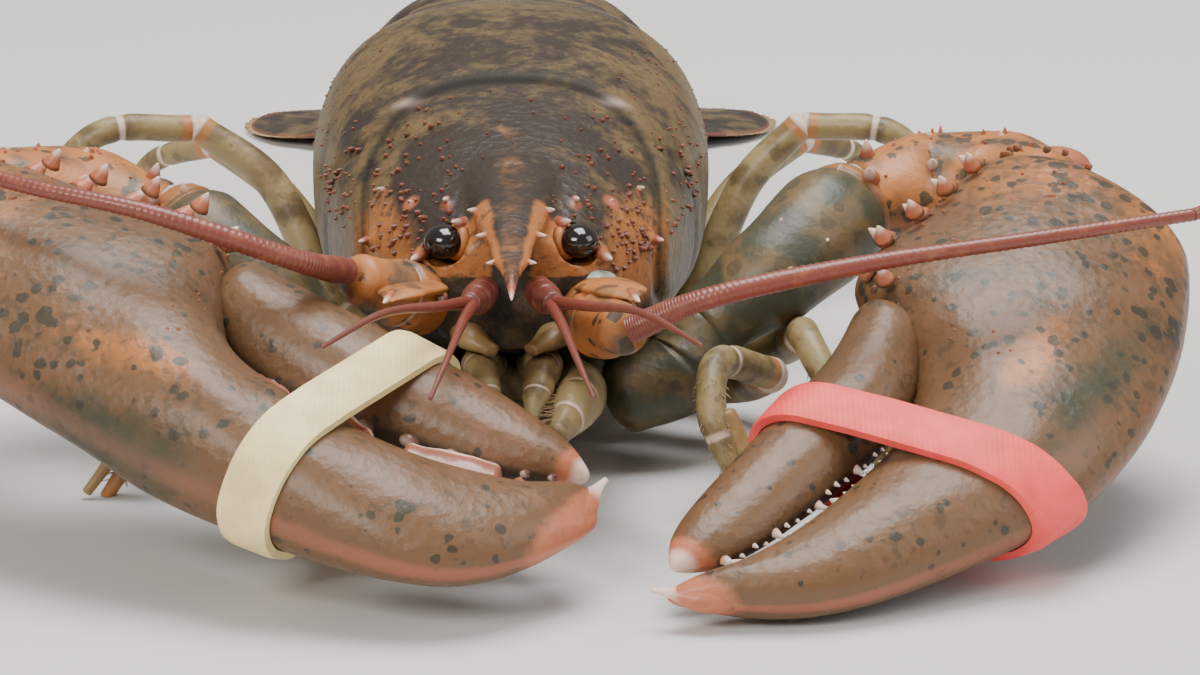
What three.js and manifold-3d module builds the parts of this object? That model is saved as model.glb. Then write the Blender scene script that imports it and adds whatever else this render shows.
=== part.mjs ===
// American lobster resting on the floor, life size, in millimetres.
// It faces -Y, its left side is at +X and the floor is at Z = 0.
import * as THREE from 'three';
import { mergeVertices } from 'three/addons/utils/BufferGeometryUtils.js';
import Module from 'manifold-3d';

const wasm = await Module();
wasm.setup();

// Driving dimensions
const JOINT_GAP = 0.35;
const CARAPACE_FRONT_Y = -69;
const CARAPACE_REAR_Y = 48;
const CARAPACE_FLANK_Z = 36;
const GROOVE_DEPTH = 1.7;
const EYE_RADIUS = 3.7;
const EYE_CENTRE = [11.5, -65, 45];
const BAND_WIDTH = 9;
const BAND_THICKNESS = 1.5;
const SPINE_SUNK = 1.6;

// How full the sections are: above 1 their edges thin out, below 1 they are boxy
const CARAPACE_POWERS = { top: 0.86, low: 0.62 };
const ABDOMEN_POWERS = { across: 0.85, top: 0.9, low: 0.6 };
const CLAW_POWERS = { across: 0.9, high: 1.15 };

// Rows of the carapace: place along Y, half width, top, lower edge
const CARAPACE_ROWS = [
  [-69, 13, 46.5, 27],
  [-58, 21, 51, 23],
  [-45, 26.5, 54.5, 20],
  [-30, 31, 58, 17.5],
  [-15, 34, 61, 16],
  [10, 36.5, 64, 15.5],
  [30, 36.5, 64.5, 16],
  [48, 34.5, 61.5, 20],
];

// Rows of the abdomen: place along Y, half width, top, underside
const ABDOMEN_ROWS = [
  [48, 30, 56, 19],
  [62, 31, 57, 17],
  [84, 31.5, 55.5, 15],
  [106, 30.5, 51.5, 13],
  [127, 29, 46, 11],
  [148, 27, 39, 9],
  [172, 23, 27, 6],
];
const ABDOMEN_JOINTS = [48.4, 59, 80, 101, 122, 143, 170];

// Rows of a claw in its own frame: place along the claw, inner edge, outer edge, half thickness
const CUTTER = {
  wrist: [88.8, -43, 46.3],
  tip: [24, -136, 6],
  roll: 15,
  palm: [
    [-9, -8, 22, 7],
    [-3, -9.5, 31, 9.6],
    [18, -11, 41.5, 12],
    [38, -11.5, 46.5, 12],
    [52, 7, 47.3, 11],
    [66, 13.6, 45.5, 9.8],
    [90, 12.2, 35, 7.6],
    [108, 7, 23.5, 5.4],
    [121, -2.5, 5.5, 3],
  ],
  dactyl: [
    [42, -8.5, 5, 8.8],
    [58, -5.6, 11.4, 8.6],
    [75, -5.9, 11.6, 7.4],
    [92, -6.4, 9.2, 5.8],
    [105, -6.2, 6, 4.2],
    [114.5, -4, 0.5, 2.2],
  ],
  pollexTeeth: [60, 66, 72, 78, 84, 90, 96, 102, 108],
  dactylTeeth: [63, 69, 75, 81, 87, 93, 99, 105],
  toothLong: 1.9,
  toothHigh: 1.5,
  bandAt: 73.5,
  bandSkew: 7,
  twist: 1,
};
const CRUSHER = {
  wrist: [-87.5, -65, 49.6],
  tip: [15.2, -115.7, 17],
  roll: 14,
  palm: [
    [-14, -8, 14, 8],
    [-7, -9, 27, 11.5],
    [14, -11, 35, 14],
    [38, -13, 40, 14.4],
    [52, 9, 41.5, 13.4],
    [66, 16.5, 42, 12.3],
    [90, 16, 41.5, 9.6],
    [108, 9.5, 37, 7],
    [118, 1, 26, 4.8],
    [122.5, 4, 16, 3],
  ],
  dactyl: [
    [42, -10.5, 5, 10.4],
    [56, -10.2, 10.5, 10.2],
    [75, -9.8, 11.5, 8.8],
    [92, -9.2, 9, 6.7],
    [106, -6.2, 5.5, 4.8],
    [115.5, -2.5, 0.5, 2.6],
  ],
  pollexTeeth: [62, 71, 80, 87, 97],
  dactylTeeth: [66, 75, 84, 92, 100],
  toothLong: 4.4,
  toothHigh: 2.9,
  bandAt: 78.5,
  bandSkew: 5,
  twist: -1,
};

// Small seeded source of variation
let seed = 20.5;
function vary(amount) {
  seed = (seed * 16.807 + 7.31) % 1000;
  return ((seed / 1000) * 2 - 1) * amount;
}

// Smooth values between the rows of a table, by cubic steps
function rowAt(rows, place) {
  const last = rows.length - 1;
  const at = Math.min(Math.max(place, rows[0][0]), rows[last][0]);
  let i = 0;
  while (i < last - 1 && at > rows[i + 1][0]) {
    i += 1;
  }
  const span = rows[i + 1][0] - rows[i][0];
  const t = (at - rows[i][0]) / span;
  return rows[i].slice(1).map((value, column) => {
    const k = column + 1;
    const slope = (j) => {
      const before = rows[Math.max(j - 1, 0)];
      const after = rows[Math.min(j + 1, last)];
      return (after[k] - before[k]) / (after[0] - before[0]);
    };
    const next = rows[i + 1][k];
    const rise = slope(i) * span;
    const fall = slope(i + 1) * span;
    const t2 = t * t;
    const t3 = t2 * t;
    return (
      (2 * t3 - 3 * t2 + 1) * value + (t3 - 2 * t2 + t) * rise
      + (3 * t2 - 2 * t3) * next + (t3 - t2) * fall
    );
  });
}

// Closed geometry as a solid, turned to face out
function toSolid(geometry) {
  const plain = geometry.index ? geometry.clone() : geometry;
  plain.deleteAttribute('normal');
  plain.deleteAttribute('uv');
  const merged = mergeVertices(plain, 1e-4);
  const place = merged.attributes.position.array;
  const corners = Uint32Array.from(merged.index.array);
  let volume = 0;
  const a = new THREE.Vector3();
  const b = new THREE.Vector3();
  const c = new THREE.Vector3();
  for (let i = 0; i < corners.length; i += 3) {
    a.fromArray(place, corners[i] * 3);
    b.fromArray(place, corners[i + 1] * 3);
    c.fromArray(place, corners[i + 2] * 3);
    volume += a.dot(b.cross(c));
  }
  if (volume < 0) {
    for (let i = 0; i < corners.length; i += 3) {
      [corners[i], corners[i + 1]] = [corners[i + 1], corners[i]];
    }
  }
  const mesh = new wasm.Mesh({
    numProp: 3,
    vertProperties: Float32Array.from(place),
    triVerts: corners,
  });
  return new wasm.Manifold(mesh);
}

// Skin over rings of points, closed at each end by one point
function skin(rings, firstPole, lastPole) {
  const count = rings[0].length;
  const points = [firstPole, ...rings.flat(), lastPole];
  const faces = [];
  const end = points.length - 1;
  const start = 1 + (rings.length - 1) * count;
  for (let j = 0; j < count; j += 1) {
    const k = (j + 1) % count;
    faces.push(0, 1 + k, 1 + j);
    faces.push(end, start + j, start + k);
  }
  for (let i = 0; i < rings.length - 1; i += 1) {
    for (let j = 0; j < count; j += 1) {
      const k = (j + 1) % count;
      const here = 1 + i * count;
      const there = here + count;
      faces.push(here + j, here + k, there + k, here + j, there + k, there + j);
    }
  }
  const geometry = new THREE.BufferGeometry();
  const flat = points.flatMap((p) => [p.x, p.y, p.z]);
  geometry.setAttribute('position', new THREE.Float32BufferAttribute(flat, 3));
  geometry.setIndex(faces);
  return toSolid(geometry);
}

function rounded(value, power) {
  return Math.sign(value) * Math.abs(value) ** power;
}

// How full a rounded end is at a distance from it
function endFullness(distance, length) {
  const t = Math.min(Math.max(distance / length, 0), 1);
  return Math.sqrt(1 - (1 - t) ** 2);
}

// Tapered limb along a smooth line, with oval rings and domed ends
function limb(line, radii, options = {}) {
  const { sides = 10, steps = 10, flat = 1, up = [0, 0, 1], grow = 0, dome = 0.55 } = options;
  const curve = new THREE.CatmullRomCurve3(
    line.map((p) => new THREE.Vector3(...p)), false, 'centripetal');
  const upward = new THREE.Vector3(...up);
  const radiusAt = (t) => {
    const s = t * (radii.length - 1);
    const i = Math.min(Math.floor(s), radii.length - 2);
    const blend = s - i;
    const smooth = blend * blend * (3 - 2 * blend);
    return radii[i] + (radii[i + 1] - radii[i]) * smooth;
  };
  const frameAt = (t) => {
    const ahead = curve.getTangent(t);
    const side = new THREE.Vector3().crossVectors(ahead, upward).normalize();
    const top = new THREE.Vector3().crossVectors(side, ahead).normalize();
    return { ahead, side, top };
  };
  const ringAt = (t, shift, share) => {
    const { ahead, side, top } = frameAt(t);
    const centre = curve.getPoint(t).addScaledVector(ahead, shift);
    const radius = (radiusAt(t) + grow) * share;
    const tall = (radiusAt(t) * flat + grow) * share;
    const ring = [];
    for (let j = 0; j < sides; j += 1) {
      const angle = (j / sides) * Math.PI * 2;
      ring.push(centre.clone()
        .addScaledVector(side, Math.cos(angle) * radius)
        .addScaledVector(top, Math.sin(angle) * tall));
    }
    return ring;
  };
  const startDome = (radii[0] * Math.min(flat, 1)) * dome + grow;
  const endDome = (radii[radii.length - 1] * Math.min(flat, 1)) * dome + grow;
  const rings = [ringAt(0, -startDome * 0.7, 0.7)];
  for (let i = 0; i <= steps; i += 1) {
    rings.push(ringAt(i / steps, 0, 1));
  }
  rings.push(ringAt(1, endDome * 0.7, 0.7));
  const first = curve.getPoint(0).addScaledVector(frameAt(0).ahead, -startDome);
  const last = curve.getPoint(1).addScaledVector(frameAt(1).ahead, endDome);
  return skin(rings, first, last);
}

// Pointed spine that starts a little inside the shell
function spine(base, lean, length, radius, sides = 5) {
  const direction = new THREE.Vector3(...lean).normalize();
  const cone = new THREE.ConeGeometry(radius, length + SPINE_SUNK, sides);
  cone.translate(0, (length - SPINE_SUNK) / 2, 0);
  cone.applyQuaternion(new THREE.Quaternion().setFromUnitVectors(
    new THREE.Vector3(0, 1, 0), direction));
  cone.translate(...base);
  return toSolid(cone);
}

function knob(centre, radii, turn = 0, detail = 1) {
  const ball = new THREE.IcosahedronGeometry(1, detail);
  ball.scale(...radii);
  ball.rotateZ(turn);
  ball.translate(...centre);
  return toSolid(ball);
}

function largest(solid) {
  const bodies = solid.decompose();
  bodies.sort((a, b) => b.volume() - a.volume());
  return bodies[0];
}

function fuse(first, ...others) {
  return others.flat().reduce((whole, next) => whole.add(next), first);
}

function cutAway(first, ...others) {
  return others.flat().reduce((whole, next) => whole.subtract(next), first);
}

// Solid as a mesh whose own origin is at a chosen anchor
function addPart(group, name, solid, look, anchor = [0, 0, 0]) {
  const { vertProperties, triVerts } = largest(solid).getMesh();
  const geometry = new THREE.BufferGeometry();
  geometry.setAttribute('position', new THREE.Float32BufferAttribute(vertProperties, 3));
  geometry.setIndex(Array.from(triVerts));
  geometry.translate(-anchor[0], -anchor[1], -anchor[2]);
  geometry.computeVertexNormals();
  const mesh = new THREE.Mesh(geometry, new THREE.MeshStandardMaterial(look));
  mesh.name = name;
  mesh.position.set(...anchor);
  group.add(mesh);
  return mesh;
}

// Looks
const SHELL_DARK = { color: '#463c2e', roughness: 0.42 };
const SHELL_BROWN = { color: '#6a4f33', roughness: 0.42 };
const SHELL_ORANGE = { color: '#a3663c', roughness: 0.42 };
const CLAW_BROWN = { color: '#7a4f3c', roughness: 0.4 };
const LEG_OLIVE = { color: '#84744f', roughness: 0.45 };
const ANTENNA_RED = { color: '#76352a', roughness: 0.45 };
const EYE_BLACK = { color: '#0d0c0c', roughness: 0.18 };
const BAND_CREAM = { color: '#f4e8bd', roughness: 0.6 };
const BAND_CORAL = { color: '#f2675f', roughness: 0.6 };

const lobster = new THREE.Group();
lobster.name = 'american_lobster';
const trunk = new THREE.Group();
const head = new THREE.Group();
const tail = new THREE.Group();
const legs = new THREE.Group();
lobster.add(trunk, head, tail, legs);

const mirrored = (point, side) => [point[0] * side, point[1], point[2]];

// Head limbs that sit in hollows of the carapace
function eyeBall(side, grow = 0) {
  const radius = EYE_RADIUS + grow;
  return knob(mirrored(EYE_CENTRE, side), [radius, radius, radius * 0.92], 0, 1);
}

function eyeStalk(side, grow = 0) {
  const line = [[4.6 * side, -61, 43.6], [9 * side, -63.8, 44.5]];
  return limb(line, [2.4, 2.9], { grow, sides: 8, steps: 1 });
}

function antennule(side, grow = 0) {
  const stem = limb(
    [[4.6 * side, -72.6, 38.5], [5.6 * side, -78, 38.7], [7 * side, -84, 39.5]],
    [2.5, 2.7, 1.9], { grow, sides: 7, steps: 3, dome: 0.3 });
  const outer = limb(
    [[7 * side, -83, 39.4], [12 * side, -98, 43], [21 * side, -116, 47], [30 * side, -131, 46]],
    [1.1, 0.9, 0.65, 0.4], { grow, sides: 5, steps: 5 });
  const inner = limb(
    [[6.4 * side, -83, 39], [8 * side, -98, 40.5], [10 * side, -114, 40], [13 * side, -128, 36.5]],
    [1.1, 0.85, 0.6, 0.4], { grow, sides: 5, steps: 5 });
  return fuse(stem, outer, inner);
}

const ANTENNA_LINES = {
  left: {
    base: [[14, -58, 33], [15, -74, 33.5], [18.6, -89.5, 36.4]],
    near: [[19.6, -93.5, 37.4], [31, -95.5, 43], [58, -91, 47.8], [88, -88, 51.5], [114, -83, 54]],
    far: [[114, -83, 54], [142, -66, 58], [159, -20, 61], [160, 40, 58], [150, 92, 50]],
    side: 1,
  },
  right: {
    base: [[-14, -58, 33], [-18, -70, 36.5], [-25.5, -78, 42]],
    near: [
      [-27.8, -81.5, 44.4],
      [-34.6, -94, 49.6],
      [-59.3, -98, 59.2],
      [-85, -88, 62.6],
      [-108, -62, 66],
    ],
    far: [[-108, -62, 66], [-124, -25, 68], [-134, 30, 65], [-132, 84, 56], [-122, 122, 45]],
    side: -1,
  },
};

function antennaBase(key, grow = 0) {
  const { base, side } = ANTENNA_LINES[key];
  const stem = limb(base, [5.8, 6.2, 4.4], { grow, sides: 10, steps: 5 });
  const scale = limb(
    [[15.5 * side, -72, 39], [18.5 * side, -80, 40.3], [20.5 * side, -86.5, 40.6]],
    [5.2, 4.4, 0.8], { grow, flat: 0.28, sides: 8, steps: 3 });
  return fuse(stem, scale);
}

function maxilliped(side, grow = 0) {
  return limb(
    [[8.5 * side, -46, 14.5], [11.5 * side, -62, 17], [11 * side, -78, 20], [7.5 * side, -90, 18]],
    [4.4, 4.6, 3.9, 2], { grow, flat: 1.15, sides: 8, steps: 6 });
}

// Carapace
function carapaceShell() {
  const rows = 15;
  const around = 26;
  const rings = [];
  for (let i = 0; i <= rows; i += 1) {
    const y = CARAPACE_FRONT_Y + (CARAPACE_REAR_Y - CARAPACE_FRONT_Y) * (i / rows);
    const [half, top, low] = rowAt(CARAPACE_ROWS, y);
    const flank = Math.min(CARAPACE_FLANK_Z, top - 12);
    const ring = [];
    for (let j = 0; j < around; j += 1) {
      const angle = (j / around) * Math.PI * 2;
      const across = Math.cos(angle);
      const high = Math.sin(angle);
      const tall = high > 0 ? top - flank : flank - low;
      const power = high > 0 ? CARAPACE_POWERS.top : CARAPACE_POWERS.low;
      const grooveY = -14 - 34 * Math.abs(across) ** 2.6;
      const groove = high > -0.3 ? Math.exp(-(((y - grooveY) / 3) ** 2)) : 0;
      const shrink = 1 - (GROOVE_DEPTH / half) * groove;
      ring.push(new THREE.Vector3(
        half * rounded(across, power) * shrink,
        y,
        flank + tall * rounded(high, power) * shrink));
    }
    rings.push(ring);
  }
  const front = new THREE.Vector3(0, CARAPACE_FRONT_Y - 1.5, 36);
  const rear = new THREE.Vector3(0, CARAPACE_REAR_Y - 1.5, 38);
  return skin(rings, front, rear);
}

function rostrum() {
  const blade = limb(
    [[0, -50, 51.5], [0, -66, 49.6], [0, -80, 47.6], [0, -96, 46.2]],
    [9.5, 6.2, 3.7, 1.2], { flat: 0.55, sides: 10, steps: 7 });
  const spines = [spine([0, -95, 46.2], [0, -1, 0.12], 3, 1.1)];
  for (const side of [-1, 1]) {
    spines.push(spine([2 * side, -85, 47], [side * 0.9, -1, 0.15], 3.4, 1.2));
    spines.push(spine([3.4 * side, -74, 48.6], [side * 0.95, -1, 0.2], 3.8, 1.4));
    spines.push(spine([5.2 * side, -64, 50], [side * 0.8, -1, 0.35], 3.8, 1.5));
  }
  return fuse(blade, spines);
}

function carapaceSpines() {
  const spines = [];
  for (const side of [-1, 1]) {
    spines.push(spine([10.8 * side, -55, 49.4], [side * 0.2, -1, 0.35], 4.2, 1.7));
    spines.push(spine([16.5 * side, -50, 47.6], [side * 0.4, -1, 0.45], 3.4, 1.4));
    spines.push(spine([21.5 * side, -42, 47.6], [side * 0.6, -1, 0.5], 3.8, 1.6));
    spines.push(spine([15.5 * side, -65, 42.5], [side * 0.35, -1, 0.1], 5, 1.9));
    spines.push(spine([19 * side, -62, 34], [side * 0.3, -1, -0.05], 5, 1.8));
    spines.push(spine([25.3 * side, -50, 41], [side * 0.5, -1, 0.2], 2.6, 1.2));
  }
  return spines;
}

// Legs: upper length from the hip to the knee, lower length from the knee to the foot
const LEG_LINES = {
  leg_2: {
    radii: [4.1, 3.9, 3.6, 3.2],
    left: [[17.5, -34, 11], [28, -34.5, 10], [40, -39, 11.5], [45, -55.5, 18]],
    leftFoot: [[44.7, -57.4, 18.9], [35, -71, 24.5], [34, -79, 18], [42, -84, 0]],
    right: [[-17.5, -34, 11], [-28, -34.5, 10], [-40, -39.5, 11.5], [-45, -54.5, 17.5]],
    rightFoot: [[-44.7, -56.4, 18.4], [-38, -69, 23], [-36.5, -77, 17], [-43, -82, 0]],
  },
  leg_3: {
    radii: [4.1, 3.9, 3.6, 3.2],
    left: [[18, -16, 11], [31, -18, 9.8], [47, -29, 15], [51, -42, 21]],
    leftFoot: [[51.2, -43.8, 21.8], [51, -55, 24.5], [56, -64, 17], [68, -68, 0]],
    right: [[-18, -16, 11], [-31, -18, 9.8], [-47, -29, 15], [-52, -41, 20.5]],
    rightFoot: [[-52.3, -42.8, 21.3], [-54, -54, 23.5], [-59, -63, 16.5], [-70, -66, 0]],
  },
  leg_4: {
    radii: [3.9, 3.5, 3.1, 2.8],
    left: [[18, 4, 11], [30, 8, 9.8], [44.5, 18, 34], [54, 20, 43.5]],
    leftFoot: [[55, 20, 43.5], [72, 17, 42], [84, 19, 21], [88, 21, 0]],
    right: [[-18, 4, 11], [-30, 8, 9.8], [-45, 18, 34], [-58, 20, 43.5]],
    rightFoot: [[-59, 20, 43.5], [-77, 14, 43.5], [-92, 17, 21], [-96, 19, 0]],
  },
  leg_5: {
    radii: [3.7, 3.3, 2.9, 2.5],
    left: [[17, 24, 11.5], [29, 31, 10], [44, 47, 25], [56, 57, 31]],
    leftFoot: [[57, 58, 30.8], [68, 68, 25], [74, 75, 10], [76, 78, 0]],
    right: [[-17, 24, 11.5], [-29, 31, 10], [-45, 46, 25], [-57, 55, 31]],
    rightFoot: [[-58, 56, 30.8], [-70, 65, 25], [-77, 72, 10], [-79, 75, 0]],
  },
};

function legUpper(name, sideName, grow = 0) {
  const leg = LEG_LINES[name];
  return limb(leg[sideName], leg.radii, { grow, sides: 6, steps: 5 });
}

function legLower(name, sideName, grow = 0) {
  const leg = LEG_LINES[name];
  const line = leg[`${sideName}Foot`];
  const clawed = name === 'leg_2' || name === 'leg_3';
  const wrist = leg.radii[3] * 0.9;
  const radii = [wrist, wrist * 0.95, clawed ? 2.6 : 1.9, 1.2];
  const main = limb(line, radii, { grow, sides: 6, steps: 5 });
  if (!clawed) {
    return main.trimByPlane([0, 0, 1], 0);
  }
  const [bx, by, bz] = line[2];
  const [x, y] = line[3];
  const away = Math.sign(x) * 3.2;
  const finger = limb(
    [[bx + away * 0.7, by, bz], [x + away, y - 1.6, 1.3]],
    [1.9, 0.9], { grow, sides: 5, steps: 1 });
  return main.add(finger).trimByPlane([0, 0, 1], 0);
}

// Arms of the claws
const ARMS = {
  left: {
    ischium: [[20, -50.5, 13], [29.5, -48.5, 16.5], [34, -45, 23]],
    merus: [[35.5, -44.5, 24.5], [46, -41, 32], [56, -31, 38], [60, -25, 40]],
    carpus: [[63.5, -22, 41], [75, -18, 41.5], [87.5, -22, 42.5], [94, -33, 44.5]],
    spineLean: [-0.1, -1, 0.55],
    knob: [97, -24, 46.5],
  },
  right: {
    ischium: [[-20, -50.5, 13], [-29.5, -49.3, 16.5], [-34, -46.8, 23]],
    merus: [[-35.5, -46.5, 24.5], [-45, -46, 32], [-55, -41, 38], [-59, -37.5, 40.5]],
    carpus: [[-62.5, -36, 41], [-75, -33, 43], [-88, -39, 45], [-97, -50, 47]],
    spineLean: [0.35, -1, 0.6],
    knob: [-101, -42, 50.5],
  },
};

function ischium(key, grow = 0) {
  return limb(ARMS[key].ischium, [7, 7.4, 6.4], { grow, sides: 10, steps: 3 });
}

function merus(key, grow = 0) {
  const radii = [7, 9.4, 10.6, 8.4];
  const main = limb(ARMS[key].merus, radii, { grow, flat: 0.95, sides: 10, steps: 5 });
  if (grow > 0) {
    return main;
  }
  const side = key === 'left' ? 1 : -1;
  const line = ARMS[key].merus;
  const spines = [];
  for (const [index, share] of [[1, 0.1], [1, 0.75], [2, 0.5]]) {
    const here = line[index];
    const next = line[index + 1];
    const [x, y, z] = here.map((value, k) => value + (next[k] - value) * share);
    spines.push(spine([x + 1.5 * side, y - 8.4, z + 2], [0.1 * side, -1, 0.1], 3.4, 1.5));
    spines.push(spine([x, y - 2, z + 8.2], [0.15 * side, -0.5, 1], 2.4, 1.3));
  }
  return fuse(main, spines);
}

function carpus(key, grow = 0) {
  const radii = [8.6, 11.6, 11.6, 8.8];
  const main = limb(ARMS[key].carpus, radii, { grow, flat: 0.86, sides: 12, steps: 5 });
  if (grow > 0) {
    return main;
  }
  const lean = ARMS[key].spineLean;
  const line = ARMS[key].carpus;
  const spines = [knob(ARMS[key].knob, [6.6, 5.2, 4], key === 'left' ? 0.2 : -0.5)];
  for (let i = 0; i < 3; i += 1) {
    const [x, y, z] = line[i];
    spines.push(spine([x, y - 7.4, z + 5.6], lean, 4.2, 1.9));
    spines.push(spine([x + vary(1.5), y, z + 8.6], [lean[0], -0.4, 1], 2.4, 1.5));
  }
  return fuse(main, spines);
}

// Claws, in a frame with X along the claw and Z out of its upper face
function clawSlab(rows, side, options = {}) {
  const { around = 22, steps = 22, grow = 0, round = 8 } = options;
  const first = rows[0][0];
  const last = rows[rows.length - 1][0];
  const length = last - first;
  const rings = [];
  for (let i = 1; i < steps; i += 1) {
    const share = (1 - Math.cos((i / steps) * Math.PI)) / 2;
    const x = first + length * (0.35 * share + 0.65 * (i / steps));
    const [inner, outer, thick] = rowAt(rows, x);
    const full = endFullness(x - first, round) * endFullness(last - x, round);
    const middle = (inner + outer) / 2;
    const half = ((outer - inner) / 2) * full + grow;
    const ring = [];
    for (let j = 0; j < around; j += 1) {
      const angle = (j / around) * Math.PI * 2;
      const across = rounded(Math.cos(angle), CLAW_POWERS.across) * half;
      const high = rounded(Math.sin(angle), CLAW_POWERS.high) * (thick * full + grow);
      ring.push(new THREE.Vector3(x, side * (middle + across), high));
    }
    rings.push(ring);
  }
  const pole = (x, row) => new THREE.Vector3(x, (side * (row[1] + row[2])) / 2, 0);
  return skin(rings, pole(first - grow, rows[0]), pole(last + grow, rows[rows.length - 1]));
}

function clawTeeth(claw, finger) {
  const onPollex = finger === 'palm';
  const rows = claw[finger];
  const places = onPollex ? claw.pollexTeeth : claw.dactylTeeth;
  return places.map((x, i) => {
    const row = rowAt(rows, x);
    const edge = onPollex ? row[0] + 0.6 : row[1] - 0.6;
    const size = 1 + 0.3 * Math.sin(i * 2.3);
    const thick = Math.min(row[2] * 0.45, claw.toothLong);
    return knob([x, claw.twist * edge, 0.8], [claw.toothLong * size, claw.toothHigh, thick], 0, 0);
  });
}

function palmSpines(claw) {
  const spines = [];
  for (let i = 0; i < 5; i += 1) {
    const x = 2 + i * 9;
    const [inner, , thick] = rowAt(claw.palm, x);
    const edge = [x, claw.twist * (inner + 1.2), thick * 0.4];
    const face = [x + 4, claw.twist * (inner + 7), thick * 0.78];
    spines.push(spine(edge, [0.35, -claw.twist, 0.5], 3 + vary(0.5), 2));
    spines.push(spine(face, [0.3, -0.3 * claw.twist, 1], 2 + vary(0.4), 1.7));
  }
  return spines;
}

function clawBand(claw, fingers) {
  const turn = THREE.MathUtils.degToRad(claw.bandSkew) * claw.twist;
  const along = new THREE.Vector3(Math.cos(turn), Math.sin(turn), 0);
  const across = new THREE.Vector3(-Math.sin(turn), Math.cos(turn), 0);
  const centre = new THREE.Vector3(claw.bandAt, 14 * claw.twist, 0);
  const slab = toSolid(new THREE.BoxGeometry(BAND_WIDTH, 200, 200)
    .rotateZ(turn).translate(centre.x, centre.y, 0));
  const { vertProperties } = fingers.intersect(slab).getMesh();
  const count = 24;
  const sections = [-0.5, 0, 0.5].map((share) => {
    const reach = new Array(count).fill(-Infinity);
    for (let i = 0; i < vertProperties.length; i += 3) {
      const p = new THREE.Vector3(vertProperties[i], vertProperties[i + 1], vertProperties[i + 2])
        .sub(centre);
      if (Math.abs(p.dot(along) - share * BAND_WIDTH) > BAND_WIDTH * 0.55) {
        continue;
      }
      for (let j = 0; j < count; j += 1) {
        const angle = (j / count) * Math.PI * 2;
        const distance = p.dot(across) * Math.cos(angle) + p.z * Math.sin(angle);
        reach[j] = Math.max(reach[j], distance);
      }
    }
    return reach;
  });
  const loop = (offset, stretch) => {
    const rings = sections.map((reach, row) => {
      const shift = (row / (sections.length - 1) - 0.5) * BAND_WIDTH * stretch;
      return reach.map((distance, j) => {
        const a = (j / count) * Math.PI * 2;
        const b = ((j + 1) / count) * Math.PI * 2;
        const next = reach[(j + 1) % count] + offset;
        const here = distance + offset;
        const cross = Math.sin(b - a);
        const u = (here * Math.sin(b) - next * Math.sin(a)) / cross;
        const v = (next * Math.cos(a) - here * Math.cos(b)) / cross;
        return centre.clone().addScaledVector(along, shift)
          .addScaledVector(across, u).add(new THREE.Vector3(0, 0, v));
      });
    });
    const first = centre.clone().addScaledVector(along, -0.5 * BAND_WIDTH * stretch);
    const last = centre.clone().addScaledVector(along, 0.5 * BAND_WIDTH * stretch);
    return skin(rings, first, last);
  };
  return loop(JOINT_GAP + BAND_THICKNESS, 1).subtract(loop(JOINT_GAP, 1.2));
}

// Turns a point of a claw's own frame into the lobster's frame
function clawFrame(claw) {
  const wrist = new THREE.Vector3(...claw.wrist);
  const ahead = new THREE.Vector3(...claw.tip).sub(wrist).normalize();
  const flatOut = new THREE.Vector3(-ahead.y, ahead.x, 0).normalize();
  const flatUp = new THREE.Vector3().crossVectors(ahead, flatOut);
  const roll = THREE.MathUtils.degToRad(claw.roll) * claw.twist;
  const out = flatOut.clone().applyAxisAngle(ahead, roll * -1);
  const up = flatUp.clone().applyAxisAngle(ahead, roll * -1);
  const frame = new THREE.Matrix4().makeBasis(ahead, out, up);
  frame.setPosition(wrist);
  return frame;
}

for (const [key, claw] of [['left', CUTTER], ['right', CRUSHER]]) {
  const group = new THREE.Group();
  const frame = clawFrame(claw);
  frame.decompose(group.position, group.quaternion, group.scale);
  lobster.add(group);
  const teethAbove = clawTeeth(claw, 'dactyl');
  const fingerMesh = { around: 12, steps: 10, round: 6 };
  const palmMesh = { around: 16, steps: 15, round: 9 };
  const dactyl = fuse(clawSlab(claw.dactyl, claw.twist, fingerMesh), teethAbove);
  const grown = fuse(
    clawSlab(claw.dactyl, claw.twist, { ...fingerMesh, grow: JOINT_GAP }),
    teethAbove.map((tooth) => tooth.translate(0, JOINT_GAP * claw.twist, 0)));
  const palmSolid = fuse(
    clawSlab(claw.palm, claw.twist, palmMesh), clawTeeth(claw, 'palm'), palmSpines(claw));
  const palm = largest(cutAway(palmSolid, grown));
  const fingers = fuse(palm, dactyl);
  const bandLook = key === 'left' ? BAND_CORAL : BAND_CREAM;
  const band = clawBand(claw, fingers);
  addPart(group, `palm_${key}`, palm, CLAW_BROWN);
  addPart(group, `dactyl_${key}`, dactyl, CLAW_BROWN, [claw.dactyl[0][0], 0, 0]);
  addPart(group, `claw_band_${key}`, band, bandLook, [claw.bandAt, 0, 0]);

  const place = frame.toArray();
  const palmRoom = clawSlab(claw.palm, claw.twist, { ...palmMesh, grow: JOINT_GAP }).transform(place);
  const wholeCarpus = carpus(key);
  const wristShell = cutAway(wholeCarpus, palmRoom, palmSolid.transform(place));
  const armShell = cutAway(merus(key), wholeCarpus, carpus(key, JOINT_GAP), palmRoom);
  const rootShell = cutAway(ischium(key), merus(key, JOINT_GAP));
  addPart(lobster, `carpus_${key}`, wristShell, SHELL_ORANGE, ARMS[key].carpus[0]);
  addPart(lobster, `merus_${key}`, armShell, SHELL_BROWN, ARMS[key].merus[0]);
  addPart(lobster, `ischium_${key}`, rootShell, SHELL_BROWN, ARMS[key].ischium[0]);
}

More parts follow.
